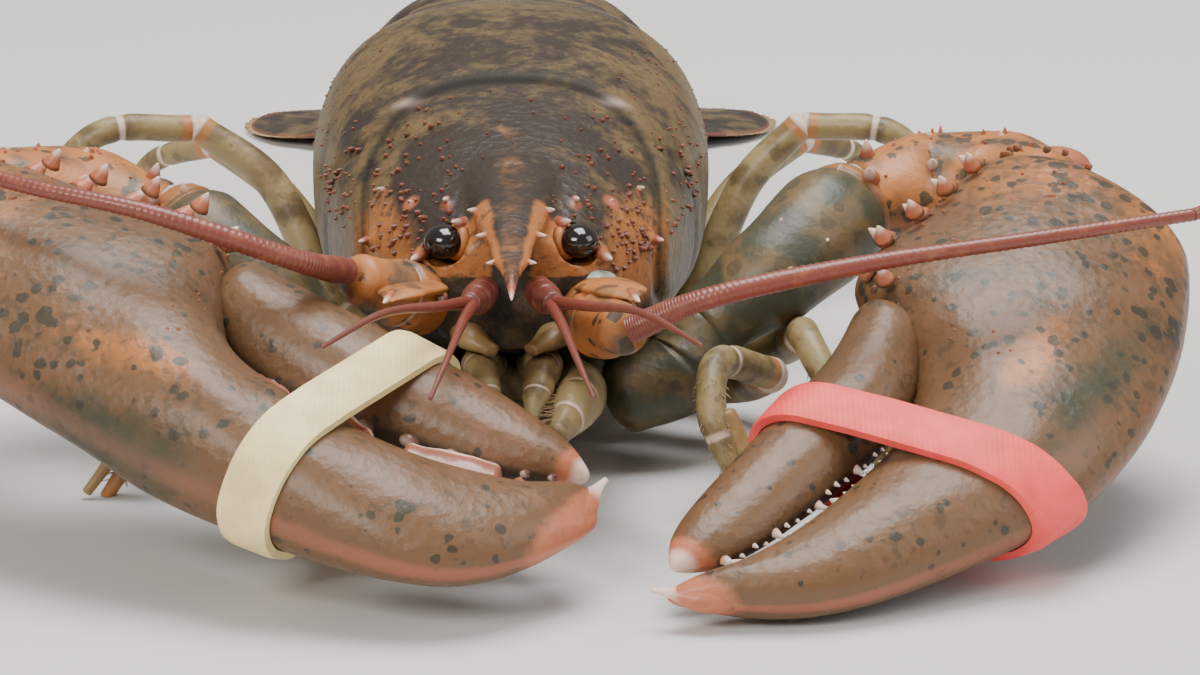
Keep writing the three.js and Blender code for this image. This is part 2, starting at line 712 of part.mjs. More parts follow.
// Head
const shellRooms = [];
const thoraxRooms = [];
for (const [key, side] of [['left', 1], ['right', -1]]) {
  shellRooms.push(eyeBall(side, JOINT_GAP + 0.5), eyeStalk(side, JOINT_GAP));
  shellRooms.push(antennaBase(key, JOINT_GAP), ischium(key, JOINT_GAP));
  thoraxRooms.push(maxilliped(side, JOINT_GAP), ischium(key, JOINT_GAP));
  addPart(head, `eye_${key}`, eyeBall(side), EYE_BLACK, mirrored(EYE_CENTRE, side));
  addPart(head, `eyestalk_${key}`, cutAway(eyeStalk(side), eyeBall(side, JOINT_GAP)), SHELL_BROWN,
    [4.6 * side, -61, 43.6]);
  addPart(head, `antennule_${key}`,
    cutAway(antennule(side), antennaBase(key, JOINT_GAP)), SHELL_BROWN, [4.6 * side, -72.6, 38.5]);
  addPart(head, `antenna_base_${key}`,
    cutAway(antennaBase(key), eyeBall(side, JOINT_GAP)), SHELL_BROWN, ANTENNA_LINES[key].base[0]);
  addPart(head, `maxilliped_${key}`, cutAway(maxilliped(side), ischium(key, JOINT_GAP)), LEG_OLIVE,
    [8.5 * side, -46, 14.5]);
  const { near, far } = ANTENNA_LINES[key];
  const farRadii = [1.1, 0.9, 0.7, 0.5, 0.35];
  const farMesh = { sides: 5, steps: 13, dome: 0.2 };
  const nearFeeler = limb(near, [2.3, 1.8, 1.3, 1.1], { sides: 6, steps: 15, dome: 0.2 });
  const farRoom = limb(far, farRadii, { ...farMesh, grow: JOINT_GAP });
  addPart(head, `antenna_near_${key}`, cutAway(nearFeeler, antennaBase(key, JOINT_GAP), farRoom),
    ANTENNA_RED, near[0]);
  addPart(head, `antenna_far_${key}`, limb(far, farRadii, farMesh), ANTENNA_RED, far[0]);
}

// Trunk
const legNames = Object.keys(LEG_LINES);
const hips = legNames.flatMap((name) => ['left', 'right'].map((key) => legUpper(name, key, JOINT_GAP)));
const carapaceRoom = carapaceShell().translate(0, 0, -JOINT_GAP);
const wholeCarapace = fuse(carapaceShell(), rostrum(), carapaceSpines());
addPart(trunk, 'carapace', cutAway(wholeCarapace, shellRooms), SHELL_DARK,
  [0, CARAPACE_REAR_Y, CARAPACE_FLANK_Z]);

const breastPlate = limb(
  [[0, -50, 15], [0, -30, 12], [0, 0, 9.8], [0, 28, 10.4], [0, 42, 13.5]],
  [12, 19, 21, 19, 13], { flat: 0.26, sides: 12, steps: 6 });
addPart(trunk, 'thorax_underside', cutAway(breastPlate, thoraxRooms, hips, carapaceRoom), LEG_OLIVE,
  [0, 0, 14]);

// Abdomen
function abdomenSegment(index) {
  const from = ABDOMEN_JOINTS[index];
  const to = ABDOMEN_JOINTS[index + 1] - JOINT_GAP;
  const steps = 3;
  const around = 16;
  const rings = [];
  for (let i = 0; i <= steps; i += 1) {
    const share = i / steps;
    const y = from + (to - from) * share;
    const [half, top, low] = rowAt(ABDOMEN_ROWS, y);
    const tuck = index > 0 ? 1 - 0.07 * Math.exp(-(((y - from) / 2) ** 2)) : 1;
    const middle = low + (top - low) * 0.35;
    const ring = [];
    for (let j = 0; j < around; j += 1) {
      const angle = (j / around) * Math.PI * 2;
      const high = Math.sin(angle);
      const tall = high > 0 ? top - middle : middle - low;
      const power = high > 0 ? ABDOMEN_POWERS.top : ABDOMEN_POWERS.low;
      ring.push(new THREE.Vector3(
        rounded(Math.cos(angle), ABDOMEN_POWERS.across) * half * tuck,
        y,
        middle + rounded(high, power) * tall * tuck));
    }
    rings.push(ring);
  }
  const centre = (rings[0][0].z + rings[steps][0].z) / 2;
  const main = skin(
    rings,
    new THREE.Vector3(0, rings[0][0].y, centre),
    new THREE.Vector3(0, rings[steps][0].y, centre));
  const extras = [];
  const middle = (ABDOMEN_JOINTS[index] + ABDOMEN_JOINTS[index + 1]) / 2;
  const [half, top, low] = rowAt(ABDOMEN_ROWS, middle);
  for (const side of [-1, 1]) {
    if (index > 0) {
      const drop = Math.max(low - 6, 2.5);
      extras.push(limb(
        [[side * half * 0.93, middle + 1, low + 13], [side * half * 1.02, middle + 2, low + 3],
          [side * half, middle + 7.5, drop]],
        [7.2, 5.6, 0.9], { flat: 0.36, sides: 6, steps: 3, up: [1, 0, 0.2] }));
    }
    if (index > 0 && index < 5) {
      extras.push(limb(
        [[side * 10, middle - 1, low + 1.5], [side * 11.5, middle + 7, low - 3],
          [side * 12, middle + 15, low - 5]],
        [3.4, 4.4, 1.6], { flat: 0.3, sides: 6, steps: 3 }));
    }
  }
  return fuse(main, extras);
}

for (let index = 0; index < 6; index += 1) {
  addPart(tail, `abdomen_${index + 1}`, abdomenSegment(index), SHELL_BROWN,
    [0, ABDOMEN_JOINTS[index], 30]);
}

// Tail fan
function fanBlade([base, turn, length, width, fall], grow = 0) {
  const steps = 6;
  const around = 12;
  const rings = [];
  const frame = new THREE.Matrix4().makeRotationZ(-turn).setPosition(...base);
  for (let i = 0; i <= steps; i += 1) {
    const share = i / steps;
    const y = length * share + (i === 0 ? -grow : 0) + (i === steps ? grow : 0);
    const widen = 0.42 + 0.58 * Math.sin(Math.min(share * 1.5, 1) * Math.PI / 2);
    const tip = share > 0.7 ? Math.sqrt(Math.max(1 - ((share - 0.7) / 0.34) ** 2, 0.02)) : 1;
    const half = (width / 2) * widen * tip + grow;
    const thick = 1.9 - 1.05 * share + grow;
    const z = -fall * Math.sin(share * Math.PI / 2);
    const ring = [];
    for (let j = 0; j < around; j += 1) {
      const angle = (j / around) * Math.PI * 2;
      ring.push(new THREE.Vector3(
        Math.cos(angle) * half, y, z + rounded(Math.sin(angle), 0.8) * thick).applyMatrix4(frame));
    }
    rings.push(ring);
  }
  const first = new THREE.Vector3(0, -grow, 0).applyMatrix4(frame);
  const last = new THREE.Vector3(0, length + grow, -fall).applyMatrix4(frame);
  return skin(rings, first, last);
}

// Blades: root, turn to the side, length, width, fall from root to tip
const BLADES = {
  telson: [[0, 169.5, 14], 0, 47, 34, 13.1],
  uropod_inner: [[11, 168, 10.5], 0.42, 47, 27, 9.6],
  uropod_outer: [[17, 166, 8], 0.86, 48, 29, 7.1],
};
const sixth = [[0, 0], [-JOINT_GAP, 0], [0, JOINT_GAP], [0, -JOINT_GAP]].map(
  ([down, aside]) => abdomenSegment(5).translate(aside, JOINT_GAP, down));
const telsonRoom = fanBlade(BLADES.telson, JOINT_GAP);
addPart(tail, 'telson', cutAway(fanBlade(BLADES.telson), sixth[0]), SHELL_BROWN, BLADES.telson[0]);
for (const [key, side] of [['left', 1], ['right', -1]]) {
  const onSide = ([base, turn, ...sizes]) => [mirrored(base, side), turn * side, ...sizes];
  const innerBlade = onSide(BLADES.uropod_inner);
  const outerBlade = onSide(BLADES.uropod_outer);
  const inner = cutAway(fanBlade(innerBlade), sixth, telsonRoom);
  const outer = cutAway(fanBlade(outerBlade), sixth, telsonRoom, fanBlade(innerBlade, JOINT_GAP));
  addPart(tail, `uropod_inner_${key}`, inner, SHELL_BROWN, innerBlade[0]);
  addPart(tail, `uropod_outer_${key}`, outer, SHELL_BROWN, outerBlade[0]);
}

// Legs
for (const name of legNames) {
  for (const key of ['left', 'right']) {
    const upper = cutAway(legUpper(name, key), legLower(name, key, JOINT_GAP), carapaceRoom);
    addPart(legs, `${name}_upper_${key}`, upper, LEG_OLIVE, LEG_LINES[name][key][0]);
    addPart(legs, `${name}_lower_${key}`, legLower(name, key), LEG_OLIVE, LEG_LINES[name][`${key}Foot`][0]);
  }
}

// Centres the model over the floor
lobster.updateMatrixWorld(true);
const bounds = new THREE.Box3().setFromObject(lobster, true);
lobster.position.set(
  -(bounds.min.x + bounds.max.x) / 2,
  -(bounds.min.y + bounds.max.y) / 2,
  -bounds.min.z);

export default lobster;
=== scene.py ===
"""Dresses the solids of an american lobster: shells, claws, feelers, legs, tail fan and claw bands."""

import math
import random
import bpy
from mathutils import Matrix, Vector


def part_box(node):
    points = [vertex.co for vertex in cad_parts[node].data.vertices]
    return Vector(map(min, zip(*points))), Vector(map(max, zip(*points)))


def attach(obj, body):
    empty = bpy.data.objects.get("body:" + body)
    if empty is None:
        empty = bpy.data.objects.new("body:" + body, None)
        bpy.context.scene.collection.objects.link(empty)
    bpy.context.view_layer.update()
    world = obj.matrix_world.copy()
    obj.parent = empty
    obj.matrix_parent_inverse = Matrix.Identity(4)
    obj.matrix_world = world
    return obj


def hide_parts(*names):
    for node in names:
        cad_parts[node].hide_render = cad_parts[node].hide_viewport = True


bl_info = {
    "name": "American lobster",
    "version": (1, 0, 0),
    "blender": (4, 5, 0),
    "location": "3D View > Sidebar > Lobster",
    "description": "Makes the visible surfaces of a life-size american lobster over its solids",
    "category": "Object",
}

import bpy
import numpy as np
from mathutils import Matrix, Vector

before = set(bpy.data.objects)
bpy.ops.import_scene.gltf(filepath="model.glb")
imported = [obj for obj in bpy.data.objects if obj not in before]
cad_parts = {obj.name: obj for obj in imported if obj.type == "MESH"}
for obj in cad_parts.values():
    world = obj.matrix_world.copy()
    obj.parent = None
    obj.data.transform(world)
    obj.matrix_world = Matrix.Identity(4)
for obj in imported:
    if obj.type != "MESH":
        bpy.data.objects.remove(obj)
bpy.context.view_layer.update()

# Places are in millimetres from the lobster's own origin, below the middle of its carapace
MM = 0.001
EYE = np.array([11.5, -65.0, 45.0])
EYE_RADIUS = 3.5
EYE_FLATNESS = 0.84
SOCKET_RADIUS = 4.6
SOCKET_FLATNESS = 0.9
SIDES = {"left": 1, "right": -1}


def lobster_offset():
    """Where the lobster's own origin lies in the frame, in millimetres, from its two eyes."""
    centres = [np.mean(np.array(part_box(f"eye_{key}")), axis=0) for key in SIDES]
    return np.mean(centres, axis=0) / MM - EYE * [0, 1, 1]


OFFSET = lobster_offset()

# Rows of the carapace: place along Y, half width, top, lower edge
CARAPACE_FRONT = -69.0
CARAPACE_REAR = 48.0
# Height of the widest line of the carapace, and how far it stays below the top
CARAPACE_FLANK = 36.0
FLANK_DROP = 12.0
# Roundness of the carapace above and below that line
CARAPACE_POWERS = (0.86, 0.62)
# Neck groove: its place along Y at the middle, its sweep to the front at the flanks, and its curve
GROOVE_PLACE = -14.0
GROOVE_SWEEP = 34.0
GROOVE_CURVE = 2.6
CARAPACE_ROWS = [
    [-69, 13, 46.5, 27],
    [-58, 21, 51, 23],
    [-45, 26.5, 54.5, 20],
    [-30, 31, 58, 17.5],
    [-15, 34, 61, 16],
    [10, 36.5, 64, 15.5],
    [30, 36.5, 64.5, 16],
    [48, 34.5, 61.5, 20],
]
# Spines of the carapace on its left side: root, lean, length, root radius
CARAPACE_SPINES = [
    [(10.8, -55, 49.4), (0.2, -1, 0.35), 4.2, 1.7],
    [(16.5, -50, 47.6), (0.4, -1, 0.45), 3.4, 1.4],
    [(21.5, -42, 47.6), (0.6, -1, 0.5), 3.8, 1.6],
    [(15.5, -65, 42.5), (0.35, -1, 0.1), 5, 1.9],
    [(19, -62, 34), (0.3, -1, -0.05), 5, 1.8],
    [(25.3, -50, 41), (0.5, -1, 0.2), 2.6, 1.2],
]
# Spines of the beak, likewise
ROSTRUM_SPINES = [
    [(2, -85, 47), (0.9, -1, 0.15), 3.4, 1.2],
    [(3.4, -74, 48.6), (0.95, -1, 0.2), 3.8, 1.4],
    [(5.2, -64, 50), (0.8, -1, 0.35), 3.8, 1.5],
]

# Rows of the abdomen: place along Y, half width, top, underside
ABDOMEN_ROWS = [
    [48, 30, 56, 19],
    [62, 31, 57, 17],
    [84, 31.5, 55.5, 15],
    [106, 30.5, 51.5, 13],
    [127, 29, 46, 11],
    [148, 27, 39, 9],
    [172, 23, 27, 6],
]
ABDOMEN_JOINTS = [48.4, 59, 80, 101, 122, 143, 170]
RING_COUNT = len(ABDOMEN_JOINTS) - 1
RING_GAP = 0.35

# Rows of a claw in its own frame: place along it, inner edge, outer edge, half thickness
CLAWS = {
    "left": {
        "wrist": (88.8, -43, 46.3),
        "tip": (24, -136, 6),
        "roll": 15,
        "palm": [
            [-9, -8, 22, 7],
            [-3, -9.5, 31, 9.6],
            [18, -11, 41.5, 12],
            [38, -11.5, 46.5, 12],
            [52, 7, 47.3, 11],
            [66, 13.6, 45.5, 9.8],
            [90, 12.2, 35, 7.6],
            [108, 7, 23.5, 5.4],
            [121, -2.5, 5.5, 3],
        ],
        "dactyl": [
            [42, -8.5, 5, 8.8],
            [58, -5.6, 11.4, 8.6],
            [75, -5.9, 11.6, 7.4],
            [92, -6.4, 9.2, 5.8],
            [105, -6.2, 6, 4.2],
            [114.5, -4, 0.5, 2.2],
        ],
        "band_at": 73.5,
        "band_skew": 7,
        "streak_at": 27,
        "twist": 1,
    },
    "right": {
        "wrist": (-87.5, -65, 49.6),
        "tip": (15.2, -115.7, 17),
        "roll": 14,
        "palm": [
            [-14, -8, 14, 8],
            [-7, -9, 27, 11.5],
            [14, -11, 35, 14],
            [38, -13, 40, 14.4],
            [52, 9, 41.5, 13.4],
            [66, 16.5, 42, 12.3],
            [90, 16, 41.5, 9.6],
            [108, 9.5, 37, 7],
            [118, 1, 26, 4.8],
            [122.5, 4, 16, 3],
        ],
        "dactyl": [
            [42, -10.5, 5, 10.4],
            [56, -10.2, 10.5, 10.2],
            [75, -9.8, 11.5, 8.8],
            [92, -9.2, 9, 6.7],
            [106, -6.2, 5.5, 4.8],
            [115.5, -2.5, 0.5, 2.6],
        ],
        "band_at": 78.5,
        "band_skew": 5,
        "streak_at": 31,
        "twist": -1,
    },
}
CLAW_POWERS = (0.9, 1.15)
# Place of a streak beyond any edge, for a finger without one
NO_STREAK = 90
# Hooked tips of the fixed fingers: line in the claw's frame, radii
HOOKS = {
    "left": ([(108, 14, 0), (116.5, 6.5, 0), (121.2, -1.5, 0.8)], [3.6, 3.3, 0.6]),
    "right": ([(108, 21, 0), (117.4, 11.4, 0.3), (118.8, 0, 1.8)], [4.8, 4.0, 0.6]),
}
# Grinding plates of the crusher: start and end along it, height over the edge, half thickness
PLATES = [
    [61, 69, 3.6, 4.6],
    [72.5, 82.5, 5.4, 4.8],
    [86.3, 87.3, 3.1, 2.4],
    [91, 104.5, 5.0, 4.2],
    [108, 109, 2.4, 1.9],
]
# Low lumps of the crusher's movable finger: place along it, half length
DACTYL_TEETH = [
    (62, 3.6), (71, 4.2), (79.5, 3), (87, 3.4), (94.5, 2.8), (101, 2.4), (106.5, 1.6), (110.5, 1.2)]
# Claw bands: width, how far their outside and inside stand off the fingers, and the fall of their edges
BAND_WIDTH = 9.0
BAND_OUTSIDE = 1.75
BAND_INSIDE = 0.12
BAND_EDGE = 0.3
# Their rows across the width, their sides, and the half length of finger that carries a row
BAND_ROWS = 9
BAND_SIDES = 120
BAND_SLICE = 0.9
# Middle of both fingers together, out from the claw's own line
FINGERS_MIDDLE = 14

# Arms: lines of the three lengths, lean of the carpus spines, and place of the red knob
CARPUS_RADII = [8.6, 11.6, 11.6, 8.8]
ARMS = {
    "left": {
        "ischium": [(20, -50.5, 13), (29.5, -48.5, 16.5), (34, -45, 23)],
        "merus": [(35.5, -44.5, 24.5), (46, -41, 32), (56, -31, 38), (60, -25, 40)],
        "carpus": [(63.5, -22, 41), (75, -18, 41.5), (87.5, -22, 42.5), (94, -33, 44.5)],
        "lean": (-0.1, -1, 0.55),
        "knob": (97, -24, 46.5),
    },
    "right": {
        "ischium": [(-20, -50.5, 13), (-29.5, -49.3, 16.5), (-34, -46.8, 23)],
        "merus": [(-35.5, -46.5, 24.5), (-45, -46, 32), (-55, -41, 38), (-59, -37.5, 40.5)],
        "carpus": [(-62.5, -36, 41), (-75, -33, 43), (-88, -39, 45), (-97, -50, 47)],
        "lean": (0.35, -1, 0.6),
        "knob": (-101, -42, 50.5),
    },
}

# Lines of the long feelers: their root, and their near and far lengths
ANTENNAE = {
    "left": {
        "base": [(14, -58, 33), (15, -74, 33.5), (18.6, -89.5, 36.4)],
        "near": [(19.6, -93.5, 37.4), (31, -95.5, 43), (58, -91, 47.8), (88, -88, 51.5), (114, -83, 54)],
        "far": [(114, -83, 54), (142, -66, 58), (159, -20, 61), (160, 40, 58), (150, 92, 50)],
    },
    "right": {
        "base": [(-14, -58, 33), (-18, -70, 36.5), (-25.5, -78, 42)],
        "near": [(-27.8, -81.5, 44.4), (-34.6, -94, 49.6), (-59.3, -98, 59.2), (-85, -88, 62.6),
                 (-108, -62, 66)],
        "far": [(-108, -62, 66), (-124, -25, 68), (-134, 30, 65), (-132, 84, 56), (-122, 122, 45)],
    },
}

# Lengths of the long feelers: radii, sides, steps, millimetres, and their marks from root to end
FEELER_PARTS = [
    ["near", [2.3, 1.8, 1.3, 1.1], 16, 300, 110, 0, 0.4],
    ["far", [1.1, 0.9, 0.7, 0.5, 0.35], 12, 420, 190, 0.4, 1],
]
FEELER_RING = 1.15

# Legs: radii from hip to knee, then the lines of the upper and lower lengths on each side
LEGS = {
    "leg_2": {
        "radii": [4.1, 3.9, 3.6, 3.2],
        "left": [(17.5, -34, 11), (28, -34.5, 10), (40, -39, 11.5), (45, -55.5, 18)],
        "left_foot": [(44.7, -57.4, 18.9), (35, -71, 24.5), (34, -79, 18), (42, -84, 0)],
        "right": [(-17.5, -34, 11), (-28, -34.5, 10), (-40, -39.5, 11.5), (-45, -54.5, 17.5)],
        "right_foot": [(-44.7, -56.4, 18.4), (-38, -69, 23), (-36.5, -77, 17), (-43, -82, 0)],
    },
    "leg_3": {
        "radii": [4.1, 3.9, 3.6, 3.2],
        "left": [(18, -16, 11), (31, -18, 9.8), (47, -29, 15), (51, -42, 21)],
        "left_foot": [(51.2, -43.8, 21.8), (51, -55, 24.5), (56, -64, 17), (68, -68, 0)],
        "right": [(-18, -16, 11), (-31, -18, 9.8), (-47, -29, 15), (-52, -41, 20.5)],
        "right_foot": [(-52.3, -42.8, 21.3), (-54, -54, 23.5), (-59, -63, 16.5), (-70, -66, 0)],
    },
    "leg_4": {
        "radii": [3.9, 3.5, 3.1, 2.8],
        "left": [(18, 4, 11), (30, 8, 9.8), (44.5, 18, 34), (54, 20, 43.5)],
        "left_foot": [(55, 20, 43.5), (72, 17, 42), (84, 19, 21), (88, 21, 0)],
        "right": [(-18, 4, 11), (-30, 8, 9.8), (-45, 18, 34), (-58, 20, 43.5)],
        "right_foot": [(-59, 20, 43.5), (-77, 14, 43.5), (-92, 17, 21), (-96, 19, 0)],
    },
    "leg_5": {
        "radii": [3.7, 3.3, 2.9, 2.5],
        "left": [(17, 24, 11.5), (29, 31, 10), (44, 47, 25), (56, 57, 31)],
        "left_foot": [(57, 58, 30.8), (68, 68, 25), (74, 75, 10), (76, 78, 0)],
        "right": [(-17, 24, 11.5), (-29, 31, 10), (-45, 46, 25), (-57, 55, 31)],
        "right_foot": [(-58, 56, 30.8), (-70, 65, 25), (-77, 72, 10), (-79, 75, 0)],
    },
}

# Share of a tail blade's length from which it carries a fringe
FRINGE_START = 0.55
# Least height of a tail blade, and of a leg tip
BLADE_FLOOR = 0.05
LEG_FLOOR = 0.02
# Blades of the tail fan: root, turn, length, width, fall to the tip
BLADES = {
    "telson": [(0, 169.5, 14), 0, 47, 34, 13.1],
    "uropod_inner": [(11, 168, 10.5), 0.42, 47, 27, 9.6],
    "uropod_outer": [(17, 166, 8), 0.86, 48, 29, 7.1],
}

# Counts of granules and bristles
CARAPACE_GRAINS = 420
WRIST_GRAINS = 26
PALM_GRAINS = 60
JAW_BRISTLES = 150
LEG_BRISTLES = 110

# Lights: place, target, size, power, colour
LIGHTS = {
    "top_light": [(0.1, 0.05, 1.1), (0, 0, 0.02), (0.8, 0.6), 19, (1, 1, 1)],
    "front_light": [(-0.55, -1.0, 0.75), (0, -0.05, 0.02), (0.6, 0.4), 11, (1, 0.96, 0.9)],
    "side_light": [(0.95, -0.4, 0.55), (0, 0, 0.02), (0.6, 0.6), 4, (0.95, 0.98, 1)],
}
SKY_COLOUR = (0.90, 0.90, 0.90, 1)
SKY_STRENGTH = 0.33
# Width of the floor in metres, and size of its faint clouds in millimetres
FLOOR_SIZE = 12
FLOOR_CLOUDS = 900

# Camera, from the photograph's framing, in the lobster's own millimetres
PHOTO_WIDTH = 1200
CAMERA_PLACE = (0.0, -932.3, 285.5)
CAMERA_PITCH = math.radians(16.55)
CAMERA_YAW = math.radians(1.0)
CAMERA_FOCAL_PIXELS = 5275.0
SENSOR_WIDTH = 36.0


def smooth_step(low, high, value):
    """Soft step from 0 to 1 as value goes from low to high."""
    t = np.clip((np.asarray(value, float) - low) / (high - low), 0, 1)
    return t * t * (3 - 2 * t)


def rows_at(rows, places):
    """Smooth values between the rows of a table, by cubic steps, at each of the places."""
    table = np.array(rows, float)
    at = table[:, 0]
    slopes = np.empty((len(table), table.shape[1] - 1))
    for i in range(len(table)):
        before = table[max(i - 1, 0)]
        after = table[min(i + 1, len(table) - 1)]
        slopes[i] = (after[1:] - before[1:]) / (after[0] - before[0])
    places = np.clip(np.asarray(places, float), at[0], at[-1])
    i = np.clip(np.searchsorted(at, places, side="right") - 1, 0, len(at) - 2)
    span = (at[i + 1] - at[i])[:, None]
    t = (places - at[i])[:, None] / span
    low, high = table[i, 1:], table[i + 1, 1:]
    rise, fall = slopes[i] * span, slopes[i + 1] * span
    return ((2 * t**3 - 3 * t**2 + 1) * low + (t**3 - 2 * t**2 + t) * rise
            + (3 * t**2 - 2 * t**3) * high + (t**3 - t**2) * fall)


def rounded(value, power):
    """Power of a value that keeps its sign, for super-ellipses."""
    return np.sign(value) * np.abs(value) ** power


def turns(count):
    """Angles of even steps round a circle."""
    return np.linspace(0, 2 * np.pi, count, endpoint=False)


def bell(value, centre, width):
    """Bell curve, 1 at its centre and 0.37 at a width from it."""
    return np.exp(-((value - centre) / width) ** 2)


def grid(*coordinates):
    """Rings of points from their coordinates along each axis."""
    return np.stack(np.broadcast_arrays(*coordinates), axis=2)


def end_fullness(distance, length):
    """Share of the full width at a distance from a round end."""
    t = np.clip(distance / length, 0, 1)
    return np.sqrt(1 - (1 - t) ** 2)


def unit(vector):
    vector = np.asarray(vector, float)
    return vector / np.linalg.norm(vector)


class Form:
    """Closed surfaces in millimetres, with named marks at their points for the materials."""

    def __init__(self, points, faces, **marks):
        self.points = np.asarray(points, float).reshape(-1, 3)
        self.faces = faces
        self.marks = {key: np.broadcast_to(value, len(self.points)).astype(float)
                      for key, value in marks.items()}

    def joined(self, *others):
        """One form of this and others. A mark that one of them lacks is 0 there."""
        forms = [self, *others]
        keys = {key for form in forms for key in form.marks}
        faces = []
        start = 0
        for form in forms:
            faces.extend(tuple(corner + start for corner in face) for face in form.faces)
            start += len(form.points)
        marks = {
            key: np.concatenate([form.marks.get(key, np.zeros(len(form.points))) for form in forms])
            for key in keys
        }
        return Form(np.concatenate([form.points for form in forms]), faces, **marks)

    def placed(self, matrix):
        turned = self.points @ matrix[:3, :3].T + matrix[:3, 3]
        return Form(turned, self.faces, **self.marks)

    def marked(self, **marks):
        return Form(self.points, self.faces, **{**self.marks, **marks})


def together(forms):
    return forms[0].joined(*forms[1:])


def skin(rings, first, last, **marks):
    """Surface over rings of points, closed by a point at each end."""
    rings = np.asarray(rings, float)
    rows, around = rings.shape[:2]
    points = np.concatenate([[first], rings.reshape(-1, 3), [last]])
    end = len(points) - 1
    faces = []
    for j in range(around):
        k = (j + 1) % around
        faces.append((0, 1 + k, 1 + j))
        faces.append((end, 1 + (rows - 1) * around + j, 1 + (rows - 1) * around + k))
    for i in range(rows - 1):
        here = 1 + i * around
        for j in range(around):
            k = (j + 1) % around
            faces.append((here + j, here + k, here + around + k, here + around + j))
    full = {}
    for key, value in marks.items():
        grid = np.broadcast_to(value, (rows, around))
        full[key] = np.concatenate([[grid[0].mean()], grid.reshape(-1), [grid[-1].mean()]])
    return Form(points, faces, **full)


class Line:
    """Centripetal Catmull-Rom line through points, as the solids use."""

    def __init__(self, points):
        points = np.array(points, float)
        self.points = np.vstack([2 * points[0] - points[1], points, 2 * points[-1] - points[-2]])
        self.spans = len(points) - 1

    def at(self, t):
        place = t * self.spans
        i = min(int(place), self.spans - 1)
        weight = place - i
        p0, p1, p2, p3 = self.points[i:i + 4]
        d0 = max(np.linalg.norm(p1 - p0) ** 0.5, 1e-4)
        d1 = max(np.linalg.norm(p2 - p1) ** 0.5, 1e-4)
        d2 = max(np.linalg.norm(p3 - p2) ** 0.5, 1e-4)
        m1 = ((p1 - p0) / d0 - (p2 - p0) / (d0 + d1) + (p2 - p1) / d1) * d1
        m2 = ((p2 - p1) / d1 - (p3 - p1) / (d1 + d2) + (p3 - p2) / d2) * d1
        w2, w3 = weight**2, weight**3
        return ((2 * w3 - 3 * w2 + 1) * p1 + (w3 - 2 * w2 + weight) * m1
                + (3 * w2 - 2 * w3) * p2 + (w3 - w2) * m2)

    def ahead(self, t):
        step = 1e-3
        return unit(self.at(min(t + step, 1)) - self.at(max(t - step, 0)))


def radius_at(radii, t):
    """Radius at t from 0 to 1, by soft steps from each radius to the next."""
    place = t * (len(radii) - 1)
    i = min(int(place), len(radii) - 2)
    blend = place - i
    return radii[i] + (radii[i + 1] - radii[i]) * blend * blend * (3 - 2 * blend)


def limb(points, radii, sides=32, steps=60, flat=1.0, up=(0, 0, 1), dome=0.55, shape=None):
    """Tapered limb on a smooth line. shape(t, angles) gives a factor on its radius."""
    line = Line(points)
    angles = turns(sides)
    dome_rows = [(0.25, 0.97), (0.5, 0.87), (0.75, 0.66), (0.93, 0.37)]

    def frame_at(t):
        ahead = line.ahead(t)
        side = unit(np.cross(ahead, up))
        return ahead, side, np.cross(side, ahead)

    def ring(t, shift, share):
        ahead, side, top = frame_at(t)
        radius = radius_at(radii, t) * share
        factor = np.ones(sides) if shape is None else shape(t, angles)
        centre = line.at(t) + ahead * shift
        across = (np.cos(angles) * radius * factor)[:, None] * side
        high = (np.sin(angles) * radius * flat * factor)[:, None] * top
        return centre + across + high

    low = radii[0] * min(flat, 1) * dome
    high = radii[-1] * min(flat, 1) * dome
    rings = [ring(0, -low * out, share) for out, share in reversed(dome_rows)]
    rings += [ring(i / steps, 0, 1) for i in range(steps + 1)]
    rings += [ring(1, high * out, share) for out, share in dome_rows]
    count = len(dome_rows)
    along = np.concatenate([np.zeros(count), np.linspace(0, 1, steps + 1), np.ones(count)])
    first = line.at(0) - frame_at(0)[0] * low
    last = line.at(1) + frame_at(1)[0] * high
    return skin(rings, first, last, along=along[:, None])


def spike(root, lean, length, radius, sides=12, hook=0.0, bright=1.0, sunk=1.6):
    """Tapered spine with a pale tip, that bends a little upwards by hook."""
    lean = unit(lean)
    helper = (0, 0, 1) if abs(lean[2]) < 0.9 else (1, 0, 0)
    side = unit(np.cross(lean, helper))
    top = np.cross(side, lean)
    angles = turns(sides)
    shares = np.array([0, 0.2, 0.45, 0.65, 0.82, 0.94])
    rings = []
    for share in shares:
        width = radius * (1 - share) ** 0.8 + 0.06
        reach = -sunk + (length + sunk) * share
        centre = np.asarray(root, float) + lean * reach + top * hook * share**2
        rings.append(centre + width * (np.cos(angles)[:, None] * side + np.sin(angles)[:, None] * top))
    tip = np.asarray(root, float) + lean * length + top * hook
    first = np.asarray(root, float) - lean * sunk
    return skin(rings, first, tip, tip=((0.22 + 0.78 * shares) * bright)[:, None])


def ball(centre, radii, sides=20, rows=12, matrix=None, **marks):
    """Ellipsoid, turned by the columns of matrix."""
    rings = []
    for i in range(1, rows):
        polar = math.pi * i / rows
        angles = turns(sides)
        rings.append(np.stack([
            -math.cos(polar) * radii[0] * np.ones(sides),
            math.sin(polar) * np.cos(angles) * radii[1],
            math.sin(polar) * np.sin(angles) * radii[2]], axis=1))
    turn = np.eye(3) if matrix is None else matrix
    rings = np.array(rings) @ turn.T + centre
    first = turn @ np.array([-radii[0], 0, 0]) + centre
    last = turn @ np.array([radii[0], 0, 0]) + centre
    return skin(rings, first, last, **marks)


def deselect():
    bpy.ops.object.select_all(action="DESELECT")


def activate(piece):
    deselect()
    piece.select_set(True)
    bpy.context.view_layer.objects.active = piece


